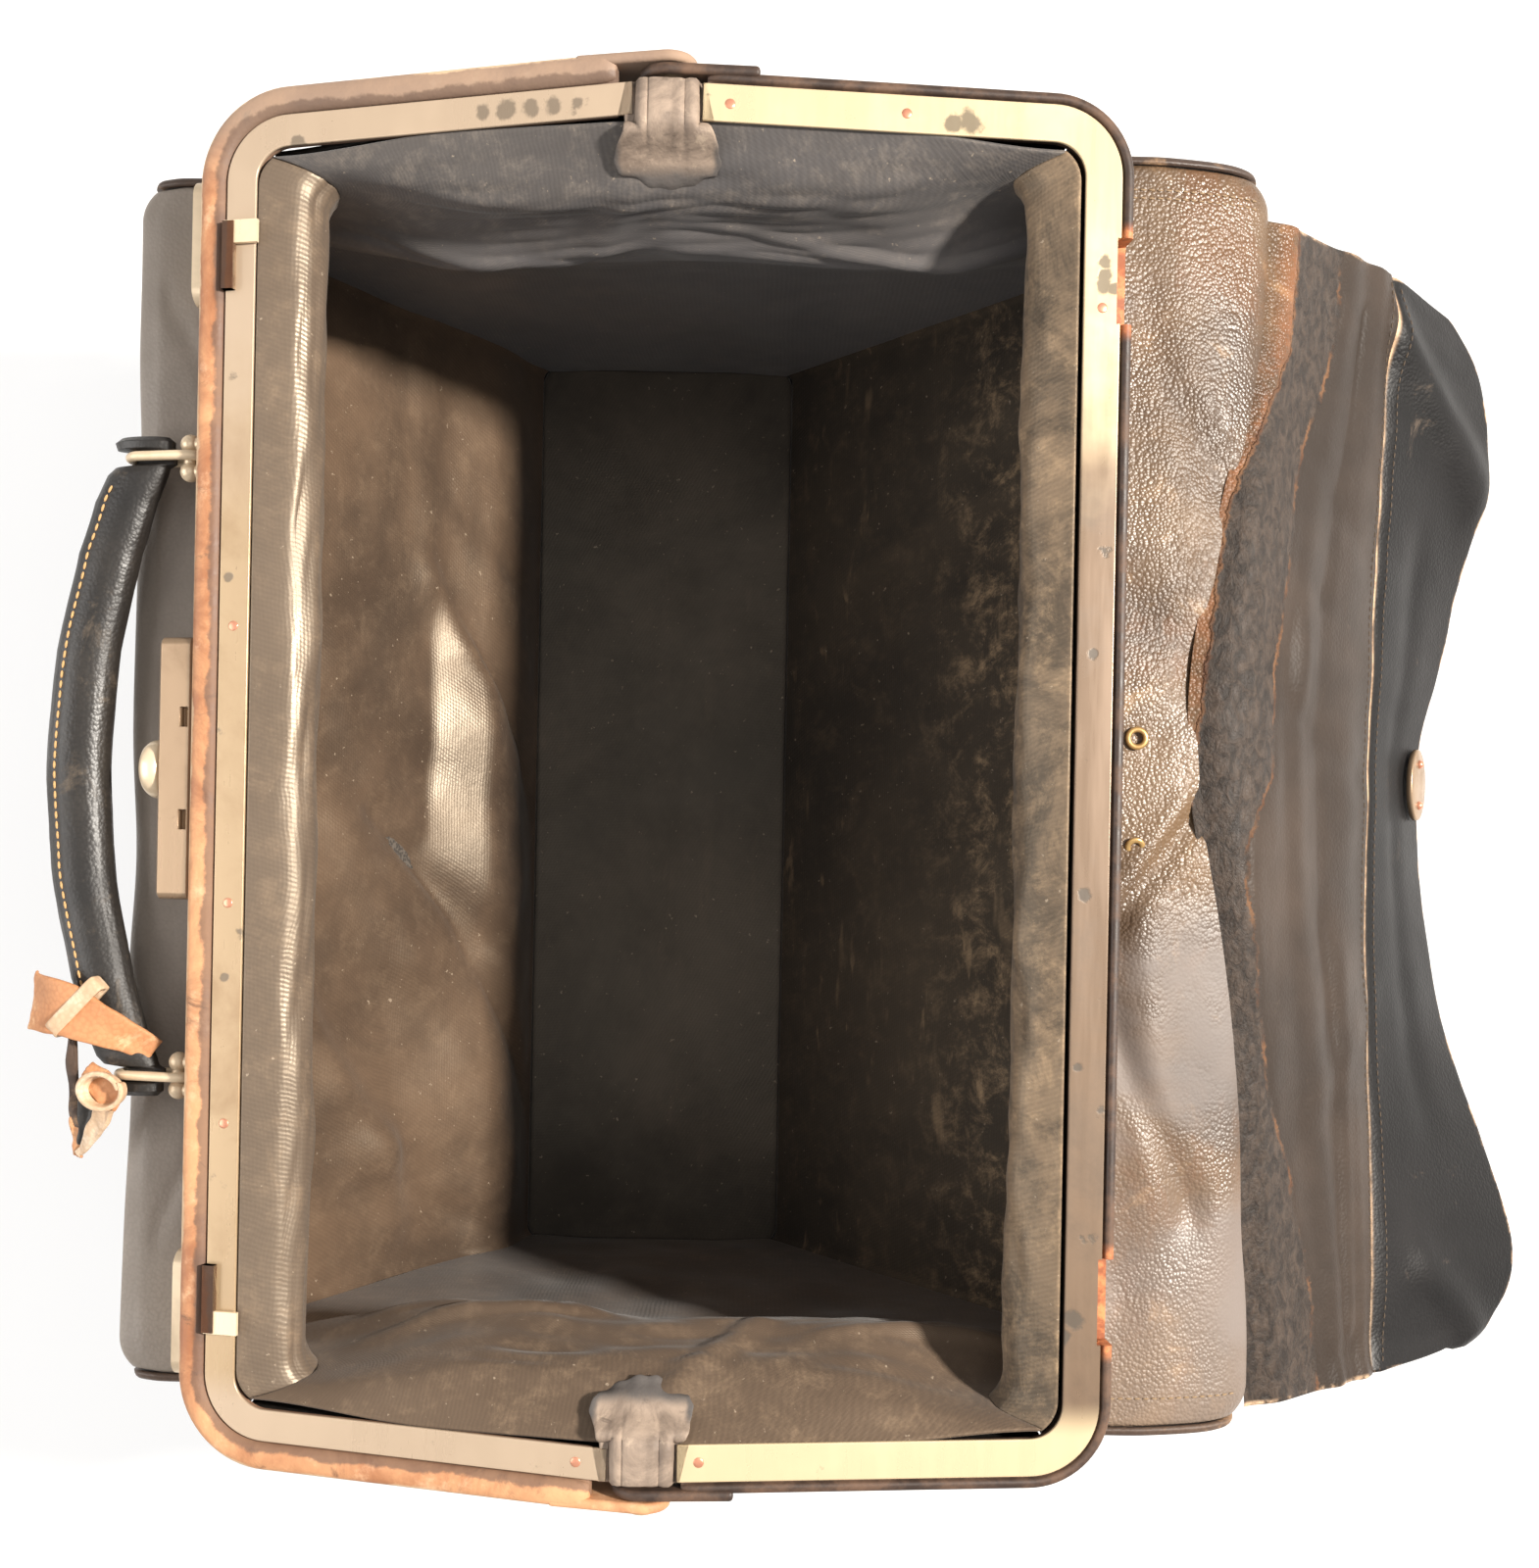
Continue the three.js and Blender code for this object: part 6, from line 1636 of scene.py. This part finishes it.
def strap(name, rows, curl, slant, seed, material):
    """A bent strip: curl lifts its edges, and slant is how many mm its far end is cut aslant."""
    u, t = np.meshgrid(edge_steps(26, 0.03) * 2 - 1, edge_steps(50, 0.015), indexing="ij")
    middle = np.stack([-column(rows["out"], t), column(rows["y"], t), column(rows["up"], t)], axis=2)
    along = unit(np.gradient(middle, axis=1))
    across = unit(np.stack([-along[..., 1], along[..., 0], 0 * u], axis=2))
    torn = slant * (u + 1) / 2 + 0.5 * ripples(u * 10, 0 * u, 5, seed)
    middle = middle + along * (torn * (1 - t) ** 2)[..., None]
    half = column(rows["half"], t) * (1 + 0.06 * ripples(np.sign(u) * 30, t * 40, 12, seed + 2))
    lift = (1 - t) * curl * u**2 + 0.35 * ripples(u * 8, t * 40, 12, seed + 1)
    grid = middle + across * (u * half)[..., None] + np.array([0, 0, 1]) * lift[..., None]
    return sheet(name, grid, 0, -1.8, material, rounding=0.7)


band = strap("strap", BAND_ROWS, 0.9, 2, 81, tan_hide)
dress(moved(band, HANDLE_PLACE), "handle", "tan_leather", "strap_band")

# %% The strap's shreds and its curl
shreds = [strap("shred", named(STRAP_COLUMNS, rows), curl, 0, 91 + i, leather)
          for i, (curl, leather, rows) in enumerate(SHREDS)]
CURL = {"out": 20.6, "y": -99.2, "up": 6.4, "long": 6.2, "wide": 4.9, "tall": 5.2, "flare": 1.0}
u, v = np.meshgrid(np.linspace(0.1, 2 * np.pi + 0.5, 60), edge_steps(12, 0.06), indexing="ij")
reach = 1 + 0.025 * u
curl_grid = np.stack([
    -CURL["out"] + (CURL["long"] + CURL["flare"] * v) * reach * np.cos(u),
    CURL["y"] + (CURL["wide"] + CURL["flare"] * v) * reach * np.sin(u),
    CURL["up"] + CURL["tall"] * v + 0.7 * np.sin(u),
], axis=2)
tail = joined("strap_end", shreds + [sheet("curl", curl_grid, 0, -1.6, pale_hide, rounding=0.6)])
dress(moved(tail, HANDLE_PLACE), "handle", "tan_leather", "strap_tail")

# %% The strap's keeper
KEEPER_LOOP = {"out": 28.9, "y": -74, "up": 9.8, "inner_x": 9.6, "inner_y": 1.8, "thick": 1.5, "half": 2.5}
SQUARENESS = 0.35  # below 1 it squares the loop's corners
turns = np.linspace(0, 2 * np.pi, 61)[:-1]
corner = np.stack([np.cos(turns), np.sin(turns)], axis=1)
corner = np.sign(corner) * np.abs(corner) ** SQUARENESS
inner = np.array([KEEPER_LOOP["inner_x"], KEEPER_LOOP["inner_y"]])
ring_in, ring_out = corner * inner, corner * (inner + KEEPER_LOOP["thick"])
across = np.array([0.7, 0.714, 0.0])  # it lies aslant over the band
direction = np.array([0.714, -0.7, 0.0])
upward = np.array([0.0, 0.0, 1.0])
half = KEEPER_LOOP["half"]
loops = [
    (ring_in, -half + 0.2), (ring_out * 0.985, -half), (ring_out, -half + 0.5),
    (ring_out, half - 0.5), (ring_out * 0.985, half), (ring_in, half - 0.2),
]
centre = np.array([-KEEPER_LOOP["out"], KEEPER_LOOP["y"], KEEPER_LOOP["up"]])
points = np.concatenate([centre + r[:, :1] * across + r[:, 1:] * upward + d * direction for r, d in loops])
keeper = piece("strap_loop", points, ring_faces(len(loops), len(turns), closed=True), pale_hide)
dress(moved(keeper, HANDLE_PLACE), "handle", "tan_leather", "strap_keeper")

# %% [markdown]
# ## The outside flap
#
# A stiff old flap sewn along the flap side's shoulder. It stands out in two flats with a sewn crease
# between them, its two corners like ears. Soft folds run along it, and the leather has torn along its root.
# Sculpting would suit such a piece, but brush strokes can't be read again in a script. So the flap is a grid
# between rows, folds are ridges along lines on it, and the tears are two lines where its thickness steps.

# %% The flap's rows and folds
FLAP_SHOULDER = np.array([(160, 199.2), (172, 197), (182.6, 193.4), (190.6, 186.8)])
FLAP_HANG, FLAP_CORNER, FLAP_CREASE = 0.25, 24, 0.75
FLAP_LENGTH, FLAP_DEPTH = 370, 150  # about its size in mm, for waves and bands drawn in shares of it
FLAP_ROWS = named(("y", "bare", "crease_x", "crease_z", "lip_y", "lip_x", "lip_z"), [
    (181, 0.86, 245, 141, 172, 290, 103),
    (135, 0.66, 245, 137, 133, 298, 99),
    (70, 0.24, 245, 132, 70, 289, 93),
    (10, 0.12, 245, 129, 10, 279, 88),
    (-75, 0.5, 244.5, 133, -75, 288, 93),
    (-150, 0.8, 243, 144, -148, 308, 106),
    (-190, 0.95, 241, 150, -185, 302, 112),
])
# Soft folds: from one place to another (share along the flap, share down it), with width and depth
FLAP_FOLDS = [
    (-0.2, 0.6, 0.4, 0.578, 0.03, 1.5), (0.4, 0.578, 1.2, 0.6, 0.03, 1.7),
    (0.08, 0.634, 0.34, 0.628, 0.009, -1.1), (0.34, 0.628, 0.66, 0.634, 0.008, -0.9),
    (-0.2, 0.682, 0.5, 0.676, 0.03, 1.2), (0.5, 0.676, 1.2, 0.69, 0.028, 1.5),
    (0.6, 0.63, 1.2, 0.6, 0.012, -0.8), (0.62, 0.66, 0.9, 0.64, 0.012, 0.9),
    (0.083, 0.765, 0.21, 0.97, 0.03, 4.2), (0.86, 0.84, 0.97, 0.97, 0.022, 1.8),
    (0.3, 0.86, 0.7, 0.88, 0.03, -1.0), (0.45, 0.56, 0.5, 0.7, 0.012, -0.9),
    (0.22, 0.55, 0.3, 0.71, 0.012, -0.6), (0.72, 0.56, 0.66, 0.72, 0.014, 0.8),
]
print("folds on the flap:", len(FLAP_FOLDS))


# %% The flap as a grid
def column_of_points(knots, t):
    """As column(), for a list of grids of points."""
    last = len(knots) - 1
    stacked = np.stack(knots)
    i = np.minimum((t * last).astype(int), last - 1)

    def knot(k):
        return np.take_along_axis(stacked, np.clip(k, 0, last)[None, ..., None], axis=0)[0]

    return cubic(knot(i - 1), knot(i), knot(i + 1), knot(i + 2), (t * last - i)[..., None])


def flap_grid(us, vs):
    """From the shoulder over the root to the crease, and on to the lip, whose corners are rounded."""
    u, v = np.meshgrid(us, vs, indexing="ij")
    col = {name: column(values, u) for name, values in FLAP_ROWS.items()}
    root = FLAP_SHOULDER
    crease = np.stack([col["crease_x"], col["crease_z"]], axis=2)
    straight = root[-1] + FLAP_HANG * (crease - root[-1])
    knots = [np.broadcast_to(p, straight.shape) for p in root] + [straight, crease]
    share = (len(root) - 1) / (len(root) + 1)
    bare = np.clip(col["bare"], 0, 0.98) * share
    place = np.clip(bare + (1 - bare) * v / FLAP_CREASE, 0, 1)
    upper = column_of_points(knots, place)
    fold = np.stack([col["crease_x"], col["y"], col["crease_z"]], axis=2)
    free = np.stack([col["lip_x"], col["lip_y"], col["lip_z"]], axis=2) - fold
    from_end = np.minimum(FLAP_ROWS["y"][0] - col["y"], col["y"] - FLAP_ROWS["y"][-1])
    in_corner = np.clip(1 - from_end / FLAP_CORNER, 0, 1)
    shorter = FLAP_CORNER * (1 - np.sqrt(1 - in_corner**2)) / np.linalg.norm(free, axis=2)
    lower = fold + free * ((v - FLAP_CREASE) / (1 - FLAP_CREASE) * (1 - shorter))[..., None]
    upper = np.stack([upper[..., 0], col["y"], upper[..., 1]], axis=2)
    return np.where((v < FLAP_CREASE)[..., None], upper, lower)


flap_us = (1 - np.cos(np.pi * np.linspace(0, 1, 150))) / 2
flap_us = 0.35 * flap_us + 0.65 * np.linspace(0, 1, 150)
upper_steps = edge_steps(90, 0.006)
lower_steps = edge_steps(40, 0.02)
flap_vs = np.concatenate([
    upper_steps[:-3] * FLAP_CREASE / upper_steps[-4],
    FLAP_CREASE + (1 - FLAP_CREASE) * lower_steps[3:],
])
grid = flap_grid(flap_us, flap_vs)
print("the flap's grid:", grid.shape[:2])

# %% The flap's folds and tears
TORN = named(("y", "first", "second"), [
    (-190, 183, 216), (-152, 183.5, 211), (-115, 180.6, 201), (-91, 174.2, 191.6), (-47, 169.6, 184.5),
    (-15, 163.6, 181), (7, 164, 190.5), (39, 168.4, 191.7), (67, 171.3, 195.5), (90, 175, 198.5),
    (114, 185, 203.5), (143, 195.5, 214.5), (185, 199, 220),
])


def past_tear(line, roughness, size, seed):
    """How far each point of the flap lies beyond a torn line, in mm."""
    x, y = grid[..., 0], grid[..., 1]
    return x - np.interp(y, TORN["y"], TORN[line]) - roughness * ripples(y, 0 * y, size, seed)


u, v = np.meshgrid(flap_us, flap_vs, indexing="ij")
lift = sum(deep * fold_line(u, v, x0, y0, x1, y1, wide) for x0, y0, x1, y1, wide, deep in FLAP_FOLDS)
free_share = smoothstep((v - 0.3) / 0.15)
along, down = u * FLAP_LENGTH, v * FLAP_DEPTH
lift = free_share * (lift + 0.7 * ripples(along, down, 60, 8) + 0.15 * ripples(along, down, 18, 9))
crease_groove = -1.3 * np.exp(-(((v - FLAP_CREASE) / 0.012) ** 2))
from_root = arc(grid, 1)
feather = smoothstep(from_root / 14)
past_first, past_second = past_tear("first", 0.4, 11, 3), past_tear("second", 0.9, 22, 4)
layer = 0.7 * smoothstep(-past_first / 1.2) + 0.35 * smoothstep(past_second / 2.5)
grid = grid + grid_normals(grid) * (lift + crease_groove - 2.4 * (1 - feather))[..., None]
flap = sheet("outside_flap", grid, 0, 0.4 + 1.4 * feather + layer * feather, flap_finish)
from_lip = from_root[:, -1:] - from_root
along_flap = arc(grid, 0)
from_side = np.minimum(along_flap, along_flap[-1:] - along_flap)
paint(
    flap,
    torn=past_first,
    ragged=past_second,
    crease=np.abs(v - FLAP_CREASE) * FLAP_DEPTH,
    rim=np.minimum(from_lip, from_side),
    outer=smoothstep((v - FLAP_CREASE) / 0.01),
)
dress(flap, "bag", "worn_leather", "pocket_flap")

# %% [markdown]
# ## Fastener and pocket
#
# An oval plate with two rivets is fixed near the middle of the flap's lip. Rings of points, each a little
# smaller and higher than the last, give it a soft edge and a low dome. The pocket below the flap can't be
# seen in the photo. It is a plain panel on the side's own grid, so that it lies evenly on the leather.

# %% Fastener
PLATE = {"half_length": 13, "half_width": 8.5, "thick": 2, "from_edge": 9, "off": 1.4}
middle_row = {name: values[3] for name, values in FLAP_ROWS.items()}
lip_middle = np.array([middle_row[c] for c in ("lip_x", "lip_y", "lip_z")], float)
down = lip_middle - [middle_row[c] for c in ("crease_x", "y", "crease_z")]
down /= np.linalg.norm(down)
off = np.array([-down[2], 0, down[0]])
lengthwise = np.array([0, 1, 0])
side = np.cross(off, lengthwise)
centre = lip_middle - PLATE["from_edge"] * down + (LEATHER + PLATE["off"]) * off
turns = np.linspace(0, 2 * np.pi, 65)[:-1]
oval = np.stack([PLATE["half_length"] * np.cos(turns), PLATE["half_width"] * np.sin(turns)], axis=1)
top = PLATE["thick"]
levels = [  # each ring's size as a share of the oval, and its height
    (0.97, 0), (1, 0.3), (1, top - 0.6), (0.985, top - 0.15), (0.95, top), (0.5, top + 0.15),
    (0.04, top + 0.2),
]
points = np.concatenate([
    centre + (k * oval[:, :1]) * lengthwise + (k * oval[:, 1:]) * side + d * off for k, d in levels
])
parts = [piece("oval", points, ring_faces(len(levels), len(turns)), fitting_plate)]
for end in (1, -1):
    pin = centre + 7.5 * end * lengthwise + top * off
    parts.append(moved(ball("pin", 1.6, copper_finish), at(*pin)))
dress(joined("fastener", parts), "bag", "plated_metal", "flap_plate")

# %% Pocket
POCKET_HALF, SIDE_HALF = 165, 187  # half lengths of the pocket and of the side it is sewn on
POCKET_FROM, POCKET_SPAN = 0.15, 0.19  # levels
pocket_us = 0.5 + (0.5 - WRAP_SHARE) * POCKET_HALF / SIDE_HALF * (edge_steps(90, 0.008) * 2 - 1)
pocket_ts = POCKET_FROM + POCKET_SPAN * edge_steps(40, 0.02)
grid = long_side(BODY_ROWS, 1, pocket_us, pocket_ts, leather_depth("back", 41))
pocket = sheet("pocket", grid, GAP, GAP + 1.8, black_hide)
dress(pocket, "bag", "black_leather", "pocket_front")

# %% [markdown]
# ## More stitches
#
# The roof's ends, the flap's crease and the pocket's mouth are sewn too. Their paths are taken from the
# shapes already made: the rows of the roof, and lines of points on the two grids. Drawing new curves over
# them would be slower, and would miss the folds.

# %% Stitches on the roof, the flap and the pocket
ROOF_SEAMS = ((1, 10.5), (1, 13.0), (-1, 11.5))  # which end, and how far in from it
roof_x, roof_end, roof_z = (
    column(BODY_ROWS[c], np.linspace(0.56, 0.77, 60)) for c in ("back_x", "back_end", "back_z")
)
rows = [
    np.stack([roof_x, end * (roof_end - inset), roof_z], axis=1) + np.array([0, 0, 0.12])
    for end, inset in ROOF_SEAMS
]
stitched("roof_stitches", rows, 2.6, 1.9, 0.6, roof_thread, "bag", "worn_leather")
crease_column = int(np.argmin(np.abs(flap_vs - FLAP_CREASE)))
vertices = flap.data.vertices
top_face = np.array([vertices[i].co for i in range(len(vertices) // 2, len(vertices))])
top_face = top_face.reshape(len(flap_us), len(flap_vs), 3) / MM
rows = [top_face[6:-6, crease_column - 3], top_face[6:-6, crease_column + 4]]
stitched("flap_stitches", rows, 2.8, 2.0, 0.6, dark_thread, "bag", "worn_leather")
rows = [grid[4:-4, -6] + [1.6, 0, 1.6]]
stitched("pocket_stitches", rows, 3.2, 2.4, 0.7, dark_thread, "bag", "black_leather")

# %% [markdown]
# ## Small rivets and eyelets
#
# Copper rivets hold the strips, and two brass eyelets sit in the roof. They repeat at uneven places, so a
# list of places reads better than an Array modifier. A rivet's head is turned, and an eyelet is a swept
# ring. All of one kind become one object.

# %% Rivets in the strips, and two eyelets in the roof
STRIP_RIVETS = [  # which half, how far out from the hinge line, and where along the bag
    (FRONT, 128.2, 45.4), (FRONT, 128.2, -37.6), (FRONT, 128.2, -103.7), (FRONT, 17.9, -195.4),
    (BACK, 17.4, 194.0), (BACK, 68.4, 193.6), (BACK, 126.6, 140.0), (BACK, 15.8, -194.0),
]
parts = []
for half, out, y in STRIP_RIVETS:
    head = lathe("head", [(1.5, -0.4)] + dome(1.5, 0.35, 0), copper_finish, 20)
    parts.append(moved(head, half_turn(half) @ at(half["side"] * out, y, FACE_LIFT + 1.62)))
dress(joined("strip_rivets", parts), "bag", "plated_metal")
EYELETS = ((17.6, 2.7, 0.0), (-15.5, 2.2, 0.5))  # where along the bag, radius and tilt
turns = np.linspace(0, 2 * np.pi, 33)[:-1]
out = np.stack([np.cos(turns), np.sin(turns), 0 * turns], axis=1)
parts = []
for y, radius, tilt in EYELETS:
    eyelet = sweep("eyelet", out * radius, out, (0, 0, 1), CIRCLE * [0.9, 0.6], brass_finish, True)
    parts.append(moved(eyelet, at(146.5, y, 199.4) @ Matrix.Rotation(tilt, 4, "X")))
dress(joined("eyelets", parts), "bag", "plated_metal")

# %% [markdown]
# ## Floor
#
# The photo's background is nearly white. A plain large square catches the shadow, and a little light of its
# own keeps it white at any angle. A curved backdrop would hide the horizon, but from above none is seen.

# %% The floor it stands on
floor_mesh = bpy.data.meshes.new("ground")
floor_mesh.from_pydata([(-6, -6, 0), (6, -6, 0), (6, 6, 0), (-6, 6, 0)], [], [(0, 1, 2, 3)])
f = Finish("ground", Emission_Color=(1, 1, 1, 1), Emission_Strength=0.62)
ground_tone = f.mix(f.ramp(f.noise(2), 0.3, 0.7), rgb(160, 159, 158), rgb(166, 165, 164))
floor_mesh.materials.append(f.done(ground_tone, 0.8))
ground = bpy.data.objects.new("ground", floor_mesh)
scene.collection.objects.link(ground)
print("floor:", [round(d) for d in ground.dimensions], "m")
